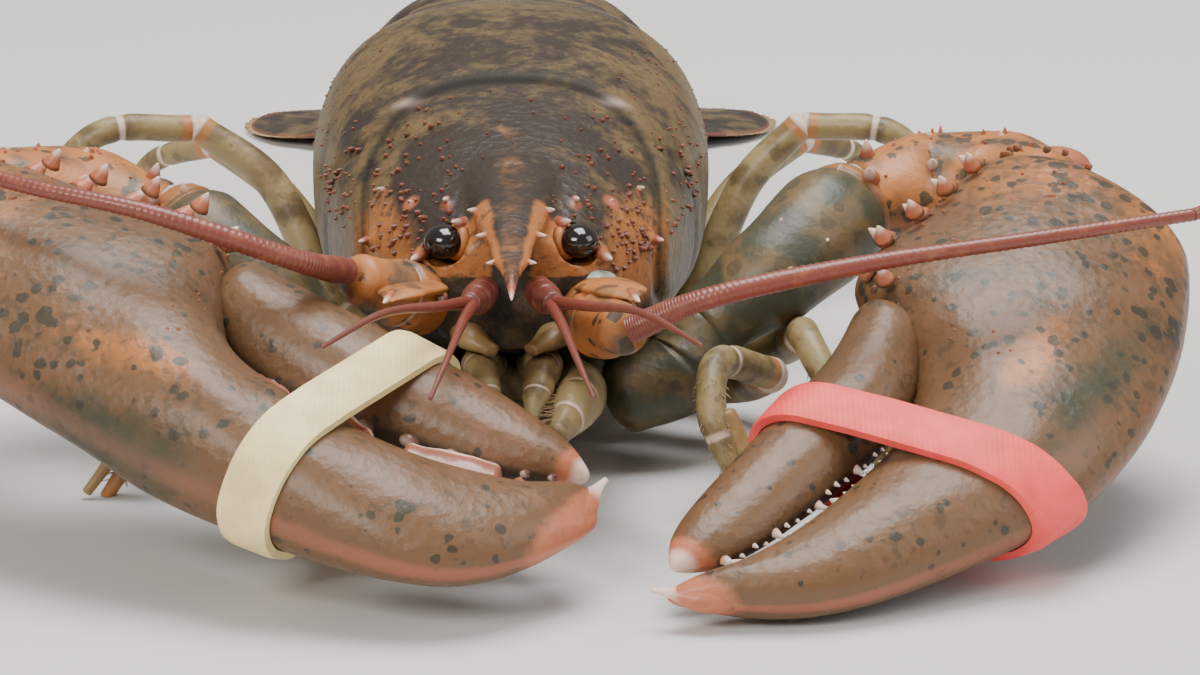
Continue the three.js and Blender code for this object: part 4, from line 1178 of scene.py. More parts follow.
class MakeHead(bpy.types.Operator):
    """Eyes, eyestalks, feelers and jaw feet"""
    bl_idname = "lobster.make_head"
    bl_label = "Head"

    def execute(self, context):
        for key, side in SIDES.items():
            self.make_eye(context, key, side)
            self.make_feelers(key, side)
            self.make_maxilliped(key, side)
        return {"FINISHED"}

    @staticmethod
    def make_eye(context, key, side):
        centre = (EYE * [side, 1, 1] + OFFSET) * MM
        deselect()
        bpy.ops.mesh.primitive_uv_sphere_add(segments=48, ring_count=32, radius=EYE_RADIUS * MM)
        eye = context.active_object
        eye.name = f"eye_{key}_ball"
        bpy.ops.transform.resize(value=(1, 1, EYE_FLATNESS))
        eye.location = centre
        bpy.ops.object.transform_apply(location=True, rotation=True, scale=True)
        bpy.ops.object.shade_smooth()
        eye.data.materials.append(material("eye"))
        settle(eye, "eye", f"eye_{key}")
        stalk = limb(
            [(4.2 * side, -60.5, 43.4), (7.4 * side, -62.8, 44.1), (9.4 * side, -64.1, 44.6)],
            [2.4, 2.8, 3.2], sides=32, steps=24, shape=segmented((0.45,), 0.08, 0.05, 0.03))
        dress(f"eyestalk_{key}_skin", stalk.marked(orange=0.8), "arm", "carapace_shell", f"eyestalk_{key}")

    @staticmethod
    def make_feelers(key, side):
        lines = ANTENNAE[key]
        stem = jointed(lines["base"], [5.8, 6.2, 4.4], (0.28, 0.62), (0.14, 0.03, 0.06), sides=48, steps=70)
        scale = limb(
            [(15.5 * side, -72, 39), (18.5 * side, -80, 40.3), (20.5 * side, -86.5, 40.6)],
            [5.2, 4.4, 0.8], flat=0.28, sides=32, steps=30)
        extras = [
            scale.marked(orange=0.5),
            spike((17.5 * side, -69, 33), (0.5 * side, -1, 0.1), 4.2, 1.6),
            spike((12 * side, -72, 37), (-0.1 * side, -1, 0.3), 3.6, 1.4),
            spike((20.3 * side, -84, 40.6), (0.25 * side, -1, 0.05), 4.5, 1.1),
        ]
        dress(f"antenna_base_{key}_skin", stem.joined(*extras), "arm", "carapace_shell",
              f"antenna_base_{key}")
        for part, radii, sides, steps, long, low, high in FEELER_PARTS:
            form = limb(lines[part], radii, sides=sides, steps=steps, dome=0.2,
                        shape=ringed(FEELER_RING, 0.05, long))
            form = form.marked(along=low + form.marks["along"] * (high - low))
            dress(f"antenna_{part}_{key}_skin", form, "feeler", "antenna_shell", f"antenna_{part}_{key}")
        stem = jointed(
            [(4.6 * side, -72.6, 38.5), (5.6 * side, -78, 38.7), (7 * side, -84, 39.5)],
            [2.5, 2.7, 1.9], (0.35, 0.7), (0.14, 0.04, 0.06), sides=24, steps=40, dome=0.3)
        outer = limb(
            [(7 * side, -83, 39.4), (12 * side, -98, 43), (21 * side, -116, 47), (30 * side, -131, 46)],
            [1.1, 0.9, 0.65, 0.4], sides=12, steps=120, shape=ringed(1.0, 0.06, 55))
        inner = limb(
            [(6.4 * side, -83, 39), (8 * side, -98, 40.5), (10 * side, -114, 40), (13 * side, -128, 36.5)],
            [1.1, 0.85, 0.6, 0.4], sides=12, steps=120, shape=ringed(1.0, 0.06, 50))
        dress(f"antennule_{key}_skin", stem.joined(outer, inner), "feeler", "antenna_shell",
              f"antennule_{key}")

    @staticmethod
    def make_maxilliped(key, side):
        line = [(8.5 * side, -46, 14.5), (11.5 * side, -62, 17), (11 * side, -78, 20), (7.5 * side, -90, 18)]
        form = jointed(line, [4.4, 4.6, 3.9, 2], (0.42, 0.66, 0.84), (0.14, 0.02, 0.06), flat=1.15, sides=36,
                       steps=90)
        inner = jointed(
            [(3.8 * side, -58, 21), (5.4 * side, -71, 24.6), (4.4 * side, -80, 23), (3.2 * side, -85, 19)],
            [3, 3.2, 2.6, 1.3], (0.4, 0.72), (0.14, 0.03, 0.06), sides=28, steps=60)
        lip = limb([(7.6 * side, -64, 29), (7 * side, -72, 30), (3.4 * side, -76.5, 29)], [3.2, 3, 1.6],
                   flat=0.7, sides=28, steps=30)
        form = form.joined(inner, lip.marked(orange=0.45))
        dress(f"maxilliped_{key}_skin", form, "leg", "leg_shell", f"maxilliped_{key}")
        path = Line(line)
        source = random.Random(7 + side)
        hairs = []
        for i in range(JAW_BRISTLES):
            t = 0.3 + 0.68 * source.random()
            root = path.at(t) + np.array([-3.2 * side * (1 - 0.35 * t), 0, source.uniform(-2, 2.4)])
            lean = (-side * source.uniform(0.6, 1.2), -0.5 + source.uniform(-0.4, 0.3),
                    source.uniform(-0.4, 0.3))
            hairs.append(spike(root, lean, source.uniform(1.6, 3.0), 0.14, sides=3))
        dress(f"maxilliped_{key}_bristles", together(hairs), "bristle", "leg_shell")


# Arms
class MakeArms(bpy.types.Operator):
    """Ischium, merus and carpus of both claws, with the skin of their joints"""
    bl_idname = "lobster.make_arms"
    bl_label = "Arms"

    def execute(self, context):
        for key, side in SIDES.items():
            arm = ARMS[key]
            root = limb(arm["ischium"], [7, 7.4, 6.4], sides=48, steps=40,
                        shape=segmented((0.55,), 0.08, 0.04, 0.03))
            dress(f"ischium_{key}_skin", root, "upper_arm", "arm_shell", f"ischium_{key}")
            self.make_merus(key, side, arm)
            self.make_carpus(key, side, arm)
            skins = [ball(np.array([14.6 * side, -66.6, 38.6]), (3.4, 2.6, 1.5))]
            for before, after, radius in (("ischium", "merus", 6.2), ("merus", "carpus", 7.6)):
                centre = (np.array(arm[before][-1]) + np.array(arm[after][0])) / 2
                skins.append(ball(centre, (radius, radius, radius * 0.9)))
            wrist = (np.array(arm["carpus"][-1]) + np.array(CLAWS[key]["wrist"])) / 2
            skins.append(ball(wrist, (6.4, 6.4, 6.0)))
            dress(f"joint_skin_{key}", together(skins), "skin", "arm_shell")
        return {"FINISHED"}

    @staticmethod
    def make_merus(key, side, arm):
        def shape(t, angles):
            ridge = 0.06 * bell(angles, np.pi / 2, 0.5)
            rim = 0.05 * bell(t, 0.96, 0.03) - 0.05 * bell(t, 0.89, 0.03)
            return 1 + ridge + rim

        main = limb(arm["merus"], [7, 9.4, 10.6, 8.4], flat=0.95, sides=72, steps=90, shape=shape)
        main = main.marked(orange=smooth_step(0.7, 1, main.marks["along"]) * 0.7)
        spines = []
        for index, share in ((1, 0.1), (1, 0.75), (2, 0.5)):
            here, after = np.array(arm["merus"][index]), np.array(arm["merus"][index + 1])
            place = here + (after - here) * share
            spines.append(spike(place + [1.5 * side, -8.4, 2], (0.1 * side, -1, 0.1), 3.4, 1.5, hook=0.5))
            spines.append(spike(place + [0, -2, 8.2], (0.15 * side, -0.5, 1), 2.4, 1.3))
        dress(f"merus_{key}_skin", main.joined(*spines), "upper_arm", "arm_shell", f"merus_{key}")

    @staticmethod
    def make_carpus(key, side, arm):
        def shape(t, angles):
            lumps = 0.025 * np.sin(angles * 4 + t * 9) * math.sin(math.pi * t)
            return 1 + lumps

        main = limb(arm["carpus"], CARPUS_RADII, flat=0.86, sides=80, steps=90, shape=shape)
        main = main.marked(orange=0.35)
        turn = Matrix.Rotation(0.2 if side > 0 else -0.5, 3, "Z")
        knob = ball(np.array(arm["knob"]), (6.6, 5.2, 4), matrix=np.array(turn), rim=0.9)
        extras = [knob]
        for i in range(3):
            x, y, z = arm["carpus"][i]
            extras.append(spike((x, y - 7.4, z + 5.6), arm["lean"], 4.2, 1.9, hook=0.6))
            extras.append(spike((x, y, z + 8.6), (arm["lean"][0], -0.4, 1), 2.4, 1.5))
        source = random.Random(31 + side)
        path = Line(arm["carpus"])
        for i in range(WRIST_GRAINS):
            t = source.uniform(0.08, 0.92)
            turn = source.uniform(-0.9, 0.9)
            out = np.array([0, -math.sin(turn + 0.5), math.cos(turn + 0.5)])
            root = path.at(t) + out * radius_at(CARPUS_RADII, t) * 0.88
            length, radius = source.uniform(0.5, 1.2), source.uniform(0.6, 1.0)
            extras.append(spike(root, out + [0, -0.3, 0], length, radius, sides=8, bright=0.6))
        dress(f"carpus_{key}_skin", main.joined(*extras), "arm", "arm_shell", f"carpus_{key}")


# Claws
def claw_frame(claw):
    """Matrix from a claw's own frame, X along it and Z out of its upper face, to the lobster's."""
    wrist = np.array(claw["wrist"], float)
    ahead = unit(np.array(claw["tip"]) - wrist)
    flat_out = unit((-ahead[1], ahead[0], 0))
    flat_up = np.cross(ahead, flat_out)
    roll = math.radians(claw["roll"]) * claw["twist"]
    out = flat_out * math.cos(roll) - flat_up * math.sin(roll)
    up = flat_up * math.cos(roll) + flat_out * math.sin(roll)
    matrix = np.eye(4)
    matrix[:3, :3] = np.stack([ahead, out, up], axis=1)
    matrix[:3, 3] = wrist
    return matrix


def claw_slab(rows, twist, around=120, steps=150, ends=8, bumps=0.0):
    """Finger or palm as a rounded slab, with marks for its rim and its place."""
    first, last = rows[0][0], rows[-1][0]
    share = (1 - np.cos(np.arange(1, steps) / steps * np.pi)) / 2
    x = first + (last - first) * (0.35 * share + 0.65 * np.arange(1, steps) / steps)
    inner, outer, thick = rows_at(rows, x).T
    full = end_fullness(x - first, ends) * end_fullness(last - x, ends)
    middle = (inner + outer) / 2
    half = (outer - inner) / 2 * full
    angles = turns(around)
    across = rounded(np.cos(angles), CLAW_POWERS[0]) * half[:, None]
    long_waves = np.sin(x / 5.3)[:, None] * np.sin(3 * angles)
    short_waves = np.sin(x / 3.1)[:, None] * np.cos(5 * angles)
    lumps = 1 + bumps * (long_waves + short_waves)
    high = rounded(np.sin(angles), CLAW_POWERS[1]) * (thick * full)[:, None] * lumps
    rings = grid(x[:, None], twist * (middle[:, None] + across), high)
    outer_rim = smooth_step(0.93, 1.0, np.cos(angles)) * np.ones((len(x), 1))
    inner_rim = smooth_step(0.9, 1.0, -np.cos(angles)) * np.ones((len(x), 1))
    ahead = smooth_step(first + (last - first) * 0.45, last, x)[:, None] * np.ones(around)
    first_pole = (first, twist * (rows[0][1] + rows[0][2]) / 2, 0)
    last_pole = (last, twist * (rows[-1][1] + rows[-1][2]) / 2, 0)
    tip = smooth_step(last - 7, last - 0.5, x)[:, None] * np.ones(around)
    return skin(rings, first_pole, last_pole, outer_rim=outer_rim, inner_rim=inner_rim, ahead=ahead,
                tip=tip * 0.95, reach=x[:, None])


def tooth_row(claw, finger, key):
    """Blunt grinding lumps on the crusher, small points on the cutter."""
    rows = claw[finger]
    twist = claw["twist"]
    on_palm = finger == "palm"
    source = random.Random(len(finger) + twist)
    teeth = []
    if key == "right" and on_palm:
        return [tooth_plate(claw, *plate) for plate in PLATES]
    if key == "right":
        for x, long in DACTYL_TEETH:
            inner, outer, thick = rows_at(rows, [x])[0]
            edge = outer - 0.9
            size = (long * 0.7, 1.3, min(thick * 0.22, 1.7))
            tooth = ball(np.array([x, twist * edge, 0.2]), size, sides=32, rows=20)
            rise = (tooth.points[:, 1] * twist - edge) / size[1]
            # Painted shade over these teeth, which sit between the fingers, lighter on their crests
            teeth.append(tooth.marked(
                tip=smooth_step(0.3, 1.0, rise) * 0.8, dull=0.9 - 0.45 * smooth_step(0.6, 1, rise)))
        return teeth
    start, stop, step = (55, 117, 2.6) if on_palm else (58, 110, 2.6)
    x = start
    count = 0
    while x < stop:
        inner, outer, thick = rows_at(rows, [x])[0]
        edge = inner + 0.3 if on_palm else outer - 0.3
        big = count % 4 == 0
        lean = (0.1, -twist if on_palm else twist, 0)
        teeth.append(spike((x, twist * edge, source.uniform(-0.6, 1.0)), lean, 1.9 if big else 1.1,
                           1.5 if big else 0.95, sides=10))
        x += step * source.uniform(0.85, 1.15)
        count += 1
    return teeth


def finger_hook(claw, key):
    """Hooked point of the fixed finger."""
    twist = claw["twist"]
    line, radii = HOOKS[key]
    hook = limb([(x, twist * y, z) for x, y, z in line], radii, flat=0.72, sides=32, steps=40, dome=0.3)
    along = hook.marks["along"]
    return hook.marked(tip=0.42 * smooth_step(0.15, 0.5, along) + 0.55 * smooth_step(0.6, 0.95, along))


def tooth_plate(claw, start, stop, reach, deep):
    """Grinding plate along the fixed finger's edge, with a pale crest."""
    twist = claw["twist"]
    places = np.linspace(start, stop, 4)
    edges = rows_at(claw["palm"], places)[:, 0] + 1.2
    line = [(x, twist * edge, 1.0) for x, edge in zip(places, edges)]

    def lumps(t, angles):
        return 1 + 0.025 * math.sin(t * (stop - start) * 0.9 + start) + 0.02 * np.cos(angles * 3 + t * 9)

    plate = limb(line, [reach * 0.92, reach, reach, reach * 0.85], flat=deep / reach, sides=40, steps=60,
                 dome=0.45, shape=lumps)
    edge_here = rows_at(claw["palm"], plate.points[:, 0])[:, 0]
    rise = edge_here - plate.points[:, 1] * twist
    return plate.marked(tip=smooth_step(0.1, 1.5, rise))


def palm_spines(claw):
    """Spines along the palm's inner edge, and granules near the wrist."""
    twist = claw["twist"]
    source = random.Random(5)
    spines = []
    for i in range(5):
        x = 2 + i * 9
        inner, outer, thick = rows_at(claw["palm"], [x])[0]
        spines.append(spike((x, twist * (inner + 1.2), thick * 0.45), (0.35, -twist, 0.5), 3, 2, hook=0.4))
    for i in range(5):
        x = 6 + i * 9
        inner, outer, thick = rows_at(claw["palm"], [x])[0]
        spines.append(spike((x, twist * (inner + 3), thick * 0.83), (0.3, -0.3 * twist, 1), 2, 1.7))
    for i in range(PALM_GRAINS):
        x = source.uniform(-8, 50)
        inner, outer, thick = rows_at(claw["palm"], [x])[0]
        share = source.random() ** 1.7
        across = inner + 2 + share * 20
        middle, half = (inner + outer) / 2, (outer - inner) / 2
        lift = thick * math.sqrt(max(1 - ((across - middle) / half) ** 2, 0.05))
        length, radius = source.uniform(0.25, 0.7), source.uniform(0.5, 0.9)
        spines.append(spike((x, twist * across, lift - 0.15), (0.4, -0.2 * twist, 1), length, radius,
                            sides=8, bright=0.35, sunk=0.8))
    return spines


class MakeClaws(bpy.types.Operator):
    """Crusher and cutter claws with their teeth and bands"""
    bl_idname = "lobster.make_claws"
    bl_label = "Claws"

    def execute(self, context):
        for key, claw in CLAWS.items():
            place = claw_frame(claw)
            twist = claw["twist"]
            palm = claw_slab(claw["palm"], twist, ends=9, bumps=0.014)
            palm = self.painted(palm, twist, claw["streak_at"], "palm")
            dactyl = claw_slab(claw["dactyl"], twist, around=96, steps=110, ends=6)
            dactyl = self.painted(dactyl, twist, NO_STREAK, "dactyl")
            knuckles = palm_spines(claw) + [finger_hook(claw, key)]
            self.add_band(key, claw, palm, dactyl, place)
            palm = palm.joined(*knuckles).placed(place)
            dress(f"palm_{key}_skin", palm, "claw", "claw_shell", f"palm_{key}")
            dress(f"dactyl_{key}_skin", dactyl.placed(place), "claw", "claw_shell", f"dactyl_{key}")
            for finger in ("palm", "dactyl"):
                teeth = tooth_row(claw, finger, key)
                row = together(teeth).placed(place)
                dress(f"{finger}_{key}_teeth", row, "tooth", "claw_shell")
        return {"FINISHED"}

    @staticmethod
    def painted(form, twist, streak_at, finger):
        """Marks a finger's rim, orange streak, green patches, spots and tip, and painted shade on the
        movable finger's biting edge.
        """
        marks = form.marks
        along = marks["reach"]
        out = form.points[:, 1] * twist
        rim = marks["outer_rim"] * (0.5 + 0.5 * marks["ahead"])
        gap = np.zeros(len(along))
        tip = np.minimum(marks["tip"], 0.45)
        if finger == "dactyl":
            rim = marks["inner_rim"] * (0.4 + 0.6 * marks["ahead"])
            tip = marks["tip"]
            # Painted shade along the edge that faces the fixed finger, left off the tip
            gap = marks["outer_rim"] * smooth_step(50, 58, along) * (1 - tip)
        base = bell(along, 4, 22)
        streak = bell(along, 48, 17) * bell(out, streak_at, 6)
        warm = np.maximum(base * 0.62, streak * 0.85) * (1 - marks["outer_rim"])
        green = bell(along, 46, 26) * bell(out, streak_at + 11, 6) * 0.8
        green = np.maximum(green, bell(along, 36, 14) * bell(out, 6, 7) * 0.55)
        spots = smooth_step(75, 20, along)
        return Form(form.points, form.faces, rim=rim, orange=warm, green=green, spots=spots, tip=tip,
                    gap=gap)

    @staticmethod
    def add_band(key, claw, palm, dactyl, place):
        """Stretches a band round both fingers, by the hull of their points in rows across its width."""
        turn = math.radians(claw["band_skew"]) * claw["twist"]
        along = np.array([math.cos(turn), math.sin(turn), 0])
        across = np.array([-math.sin(turn), math.cos(turn), 0])
        up = np.array([0, 0, 1.0])
        centre = np.array([claw["band_at"], FINGERS_MIDDLE * claw["twist"], 0])
        points = np.concatenate([palm.points, dactyl.points]) - centre
        angles = turns(BAND_SIDES)
        step = angles[1]
        reach = []
        for share in np.linspace(-0.5, 0.5, BAND_ROWS):
            near = points[np.abs(points @ along - share * BAND_WIDTH) < BAND_SLICE]
            flat = np.stack([near @ across, near @ up], axis=1)
            reach.append((flat @ np.stack([np.cos(angles), np.sin(angles)])).max(axis=0))

        def ring(row, offset):
            shift = (row / (BAND_ROWS - 1) - 0.5) * BAND_WIDTH
            here = reach[row] + offset
            after = np.roll(here, -1)
            cross = math.sin(step)
            u = (here * np.sin(angles + step) - after * np.sin(angles)) / cross
            v = (after * np.cos(angles) - here * np.cos(angles + step)) / cross
            return centre + along * shift + u[:, None] * across + v[:, None] * up

        edges = (0, BAND_ROWS - 1)
        rings = [ring(row, BAND_OUTSIDE - BAND_EDGE * (row in edges)) for row in range(BAND_ROWS)]
        rings += [ring(row, BAND_INSIDE) for row in reversed(range(BAND_ROWS))]
        rings = np.array(rings)
        count = len(rings)
        around = rings.shape[1]
        faces = []
        for i in range(count):
            for j in range(around):
                a = i * around + j
                b = i * around + (j + 1) % around
                c = ((i + 1) % count) * around + (j + 1) % around
                d = ((i + 1) % count) * around + j
                faces.append((a, b, c, d))
        colour = "coral" if key == "left" else "cream"
        form = Form(rings.reshape(-1, 3), faces).placed(place)
        piece = mesh_piece(f"claw_band_{key}_rubber", form, material(colour))
        bpy.ops.object.shade_smooth_by_angle(angle=math.radians(40))
        settle(piece, f"band_{colour}", f"claw_band_{key}")


# Legs
class MakeLegs(bpy.types.Operator):
    """Eight walking legs"""
    bl_idname = "lobster.make_legs"
    bl_label = "Walking legs"

    def execute(self, context):
        for name, leg in LEGS.items():
            for key, side in SIDES.items():
                self.make_upper(name, key, leg)
                self.make_lower(name, key, side, leg)
        return {"FINISHED"}

    @staticmethod
    def make_upper(name, key, leg):
        form = jointed(leg[key], leg["radii"], (0.16, 0.36), (0.16, 0.018, 0.06), ends=(1,), sides=32,
                       steps=90)
        along = form.marks["along"]
        form = form.marked(orange=0.8 * bell(along, 0.97, 0.03))
        dress(f"{name}_upper_{key}_skin", form, "leg", "leg_shell", f"{name}_upper_{key}")

    @staticmethod
    def make_lower(name, key, side, leg):
        line = leg[f"{key}_foot"]
        clawed = name in ("leg_2", "leg_3")
        wrist = leg["radii"][3] * 0.9
        radii = [wrist, wrist * 0.95, 2.6 if clawed else 1.9, 1.2]
        form = jointed(line, radii, (0.24, 0.74), (0.14, 0.02, 0.07), ends=(0,), sides=28, steps=90)
        along = form.marks["along"]
        form = form.marked(orange=np.maximum(smooth_step(0.8, 1, along) * 0.8,
                                             0.8 * bell(along, 0.03, 0.03)))
        parts = []
        if clawed:
            bx, by, bz = line[2]
            x, y, z = line[3]
            away = 3.2 * side
            parts.append(limb([(bx + away * 0.7, by, bz), (x + away, y - 1.6, 1.3)], [1.9, 0.9],
                              sides=20, steps=30).marked(orange=0.5))
        form = form.joined(*parts)
        form.points[:, 2] = np.maximum(form.points[:, 2], LEG_FLOOR)
        dress(f"{name}_lower_{key}_skin", form, "leg", "leg_shell", f"{name}_lower_{key}")
        source = random.Random(seed_of(name + key))
        path = Line(line)
        hairs = []
        for i in range(LEG_BRISTLES):
            t = 0.5 + 0.46 * source.random()
            turn = source.uniform(0, 2 * math.pi)
            ahead = path.ahead(t)
            aside = unit(np.cross(ahead, (0.3, 1, 0.2)))
            top = np.cross(aside, ahead)
            out = aside * math.cos(turn) + top * math.sin(turn)
            root = path.at(t) + out * radius_at(radii, t) * 0.9
            if root[2] < 2.5:
                continue
            hairs.append(spike(root, out + ahead * 1.1, source.uniform(0.9, 1.8), 0.1, sides=3))
        dress(f"{name}_{key}_bristles", together(hairs), "bristle", "leg_shell")


def seed_of(name):
    """Number for the random draws of a piece, the same each time."""
    return sum(map(ord, name))


# Tail
def abdomen_form(index):
    """Ring of the abdomen with its lappets, and with swimming feet on the middle rings."""
    start = ABDOMEN_JOINTS[index]
    stop = ABDOMEN_JOINTS[index + 1] - RING_GAP
    steps, around = 44, 130
    y = np.linspace(start, stop, steps + 1)
    half, top, low = rows_at(ABDOMEN_ROWS, y).T
    tuck = 1 - 0.06 * bell(y, start, 1.8) if index > 0 else np.ones(len(y))
    if index == RING_COUNT - 1:
        fall = np.clip((y - stop + 9) / 9.6, 0, 1)
        tuck = tuck * np.sqrt(1 - fall**2 * 0.72)
    tuck = tuck + 0.018 * bell(y - start, 6, 2.5)
    tuck = tuck - 0.012 * bell(y - stop, -2.2, 0.7)
    middle = low + (top - low) * 0.35
    angles = turns(around)
    high = np.sin(angles)
    x = rounded(np.cos(angles), 0.85) * (half * tuck)[:, None]
    tall = np.where(high > 0, (top - middle)[:, None], (middle - low)[:, None]) * tuck[:, None]
    z = middle[:, None] + rounded(high, np.where(high > 0, 0.9, 0.6)) * tall
    rings = grid(x, y[:, None], z)
    centre = (rings[0][0][2] + rings[-1][0][2]) / 2
    main = skin(rings, (0, start, centre), (0, stop, centre))
    extras = []
    place = (ABDOMEN_JOINTS[index] + ABDOMEN_JOINTS[index + 1]) / 2
    half_here, _, low_here = rows_at(ABDOMEN_ROWS, [place])[0]
    for side in (-1, 1):
        if index > 0:
            drop = max(low_here - 6, 2.5)
            extras.append(limb(
                [(side * half_here * 0.93, place + 1, low_here + 13),
                 (side * half_here * 1.02, place + 2, low_here + 3),
                 (side * half_here, place + 7.5, drop)],
                [7.2, 5.6, 0.9], flat=0.36, sides=36, steps=36, up=(1, 0, 0.2)))
        if 0 < index < RING_COUNT - 1:
            extras.append(limb(
                [(side * 10, place - 1, low_here + 1.5), (side * 11.5, place + 7, low_here - 3),
                 (side * 12, place + 15, low_here - 5)],
                [3.4, 4.4, 1.6], flat=0.3, sides=28, steps=24))
    return main.joined(*extras)


class MakeAbdomen(bpy.types.Operator):
    """Six rings of the abdomen, with their side lappets and swimming feet"""
    bl_idname = "lobster.make_abdomen"
    bl_label = "Abdomen"

    def execute(self, context):
        for index in range(RING_COUNT):
            piece = mesh_piece(f"abdomen_{index + 1}_skin", abdomen_form(index), material("tail"))
            blended(piece, sizes().skin_grain, rounds=2)
            stop = ABDOMEN_JOINTS[index + 1] - RING_GAP

            def rim_mark(points):
                return smooth_step(stop - 2.2, stop - 0.3, points[:, 1]) * (index < RING_COUNT - 1)

            def orange_mark(points):
                x, y, z = points.T
                low = rows_at(ABDOMEN_ROWS, y)[:, 2]
                lappet = smooth_step(low + 9, low - 1, z) * smooth_step(20, 27, np.abs(x))
                return np.clip(lappet, 0, 1)

            remark(piece, rim=rim_mark, orange=orange_mark)
            settle(piece, "tail_shell", f"abdomen_{index + 1}")
        return {"FINISHED"}


def blade_form(name, side):
    """Tail blade in its own frame, with the matrix that places it, and its edge for the fringe."""
    root, turn, length, width, fall = BLADES[name]
    root = np.array([root[0] * side, root[1], root[2]], float)
    turn = -turn * side
    steps, around = 70, 96
    share = np.linspace(0, 1, steps + 1)
    y = length * share
    widen = 0.42 + 0.58 * np.sin(np.minimum(share * 1.5, 1) * np.pi / 2)
    tip = np.where(share > 0.64, np.sqrt(np.maximum(1 - ((share - 0.64) / 0.37) ** 2, 0.02)), 1)
    half = (width / 2) * widen * tip
    thick = 1.9 - 1.05 * share
    drop = -fall * np.sin(share * np.pi / 2)
    angles = turns(around)
    across = np.cos(angles)
    ridges = 1 + 0.28 * bell(across, 0, 0.09) + 0.16 * bell(np.abs(across), 0.5, 0.06)
    suture = np.zeros(len(share))
    if name == "uropod_outer":
        suture = 0.35 * bell(share, 0.66, 0.016) - 0.3 * bell(share, 0.70, 0.02)
    lift = rounded(np.sin(angles), 0.8) * thick[:, None] * ridges * 0.82
    z = drop[:, None] + lift * (1 + suture[:, None])
    x = across * half[:, None]
    rings = grid(x, y[:, None], z)
    matrix = np.eye(4)
    matrix[:2, :2] = [[math.cos(turn), -math.sin(turn)], [math.sin(turn), math.cos(turn)]]
    matrix[:3, 3] = root
    rim = smooth_step(0.8, 1.0, np.abs(across)) * np.ones((len(share), 1))
    rim = np.maximum(rim, smooth_step(0.93, 1, share)[:, None])
    form = skin(rings, (0, 0, 0), (0, length, -fall), rim=rim, orange=(1 - share[:, None]) * 0.3)
    return form, matrix, half, drop, y


class MakeTailFan(bpy.types.Operator):
    """Telson and four uropods with their fringe of bristles"""
    bl_idname = "lobster.make_tail_fan"
    bl_label = "Tail fan"

    def execute(self, context):
        for name in BLADES:
            for key, side in SIDES.items():
                if name == "telson" and key == "right":
                    continue
                node = name if name == "telson" else f"{name}_{key}"
                form, matrix, half, drop, y = blade_form(name, side)
                blade = form.placed(matrix)
                blade.points[:, 2] = np.maximum(blade.points[:, 2], BLADE_FLOOR)
                dress(f"{node}_skin", blade, "tail", "tail_shell", node)
                hairs = self.fringe(half, drop, y, seed_of(node))
                fringe = together(hairs).placed(matrix)
                dress(f"{node}_fringe", fringe, "bristle", "tail_shell")
        return {"FINISHED"}

    @staticmethod
    def fringe(half, drop, y, seed):
        """Bristles round the outer edge of a blade, in its own frame."""
        source = random.Random(seed)
        right = np.stack([half, y, drop], axis=1)[int(len(y) * FRINGE_START):]
        outline = np.concatenate([right * [-1, 1, 1], right[::-1]])
        lengths = np.linalg.norm(np.diff(outline, axis=0), axis=1)
        along = np.concatenate([[0], np.cumsum(lengths)])
        hairs = []
        count = sizes().fringe_count
        for i in range(count):
            place = along[-1] * (i + source.random()) / count
            root = np.array([np.interp(place, along, outline[:, k]) for k in range(3)])
            lean = np.array([root[0] * 0.05, 1, source.uniform(-0.02, 0.05)])
            lean = lean + [source.uniform(-0.12, 0.12), 0, 0]
            length = sizes().hair_length * source.uniform(0.7, 1.0)
            hairs.append(spike(root - unit(lean) * 1.2, lean, length, 0.16, sides=3, sunk=0.4))
        return hairs


# Stage
def add_area_light(name, place, target, size, power, colour):
    data = bpy.data.lights.new(name, "AREA")
    data.shape = "RECTANGLE"
    data.size = size[0]
    data.size_y = size[1]
    data.energy = power
    data.color = colour
    light = bpy.data.objects.new(name, data)
    light.location = place
    light.rotation_euler = (Vector(target) - Vector(place)).to_track_quat("-Z", "Y").to_euler()
    bpy.context.scene.collection.objects.link(light)


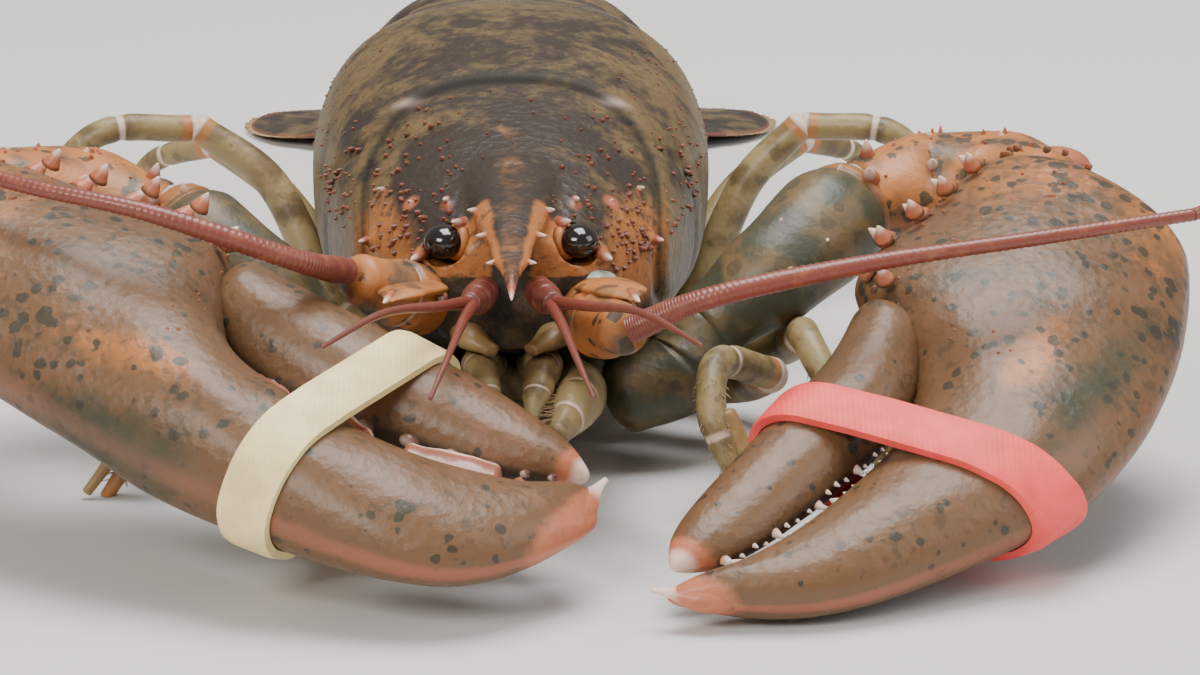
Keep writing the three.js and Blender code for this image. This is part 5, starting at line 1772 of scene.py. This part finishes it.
class MakeStage(bpy.types.Operator):
    """Pale floor, soft lights and the camera of the photograph"""
    bl_idname = "lobster.make_stage"
    bl_label = "Stage"

    def execute(self, context):
        deselect()
        bpy.ops.mesh.primitive_plane_add(size=FLOOR_SIZE, location=(0, 0, 0))
        floor = context.active_object
        floor.name = "floor"
        shader = Shader("pale_floor")
        tone = shader.noise(shader.place(), FLOOR_CLOUDS, detail=2)
        floor.data.materials.append(shader.finish(Base_Color=shader.mix(*FLOOR_SHADES, tone), Roughness=0.8))
        world = bpy.data.worlds.new("soft_sky")
        world.use_nodes = True
        world.node_tree.nodes["Background"].inputs["Color"].default_value = SKY_COLOUR
        world.node_tree.nodes["Background"].inputs["Strength"].default_value = SKY_STRENGTH
        context.scene.world = world
        for name, settings in LIGHTS.items():
            add_area_light(name, *settings)
        self.add_camera(context)
        return {"FINISHED"}

    @staticmethod
    def add_camera(context):
        data = bpy.data.cameras.new("photo_camera")
        data.sensor_fit = "HORIZONTAL"
        data.sensor_width = SENSOR_WIDTH
        data.lens = CAMERA_FOCAL_PIXELS / PHOTO_WIDTH * SENSOR_WIDTH
        data.clip_start = 0.01
        data.clip_end = 50
        camera = bpy.data.objects.new("photo_camera", data)
        camera.location = (np.array(CAMERA_PLACE) + OFFSET) * MM
        ahead = Vector((
            math.sin(CAMERA_YAW) * math.cos(CAMERA_PITCH),
            math.cos(CAMERA_YAW) * math.cos(CAMERA_PITCH),
            -math.sin(CAMERA_PITCH)))
        camera.rotation_euler = ahead.to_track_quat("-Z", "Y").to_euler()
        context.scene.collection.objects.link(camera)
        context.scene.camera = camera


PIECE_OPERATORS = [
    MakeCarapace, MakeThorax, MakeHead, MakeArms, MakeClaws, MakeLegs, MakeAbdomen, MakeTailFan, MakeStage]


class LobsterPanel(bpy.types.Panel):
    """Lists the lobster's pieces and settings"""
    bl_idname = "VIEW3D_PT_lobster"
    bl_label = "American lobster"
    bl_space_type = "VIEW_3D"
    bl_region_type = "UI"
    bl_category = "Lobster"

    def draw(self, context):
        layout = self.layout
        for operator in PIECE_OPERATORS:
            layout.operator(operator.bl_idname)
        for group in (context.scene.lobster_colours, context.scene.lobster_sizes):
            for key in group.__annotations__:
                layout.prop(group, key)


CLASSES = [LobsterColours, LobsterSizes, *PIECE_OPERATORS, LobsterPanel]


def register():
    for item in CLASSES:
        bpy.utils.register_class(item)
    bpy.types.Scene.lobster_colours = bpy.props.PointerProperty(type=LobsterColours)
    bpy.types.Scene.lobster_sizes = bpy.props.PointerProperty(type=LobsterSizes)


def unregister():
    del bpy.types.Scene.lobster_sizes
    del bpy.types.Scene.lobster_colours
    for item in reversed(CLASSES):
        bpy.utils.unregister_class(item)


def main():
    register()
    for operator in PIECE_OPERATORS:
        family, name = operator.bl_idname.split(".")
        getattr(getattr(bpy.ops, family), name)()
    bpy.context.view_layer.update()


if __name__ == "__main__":
    main()
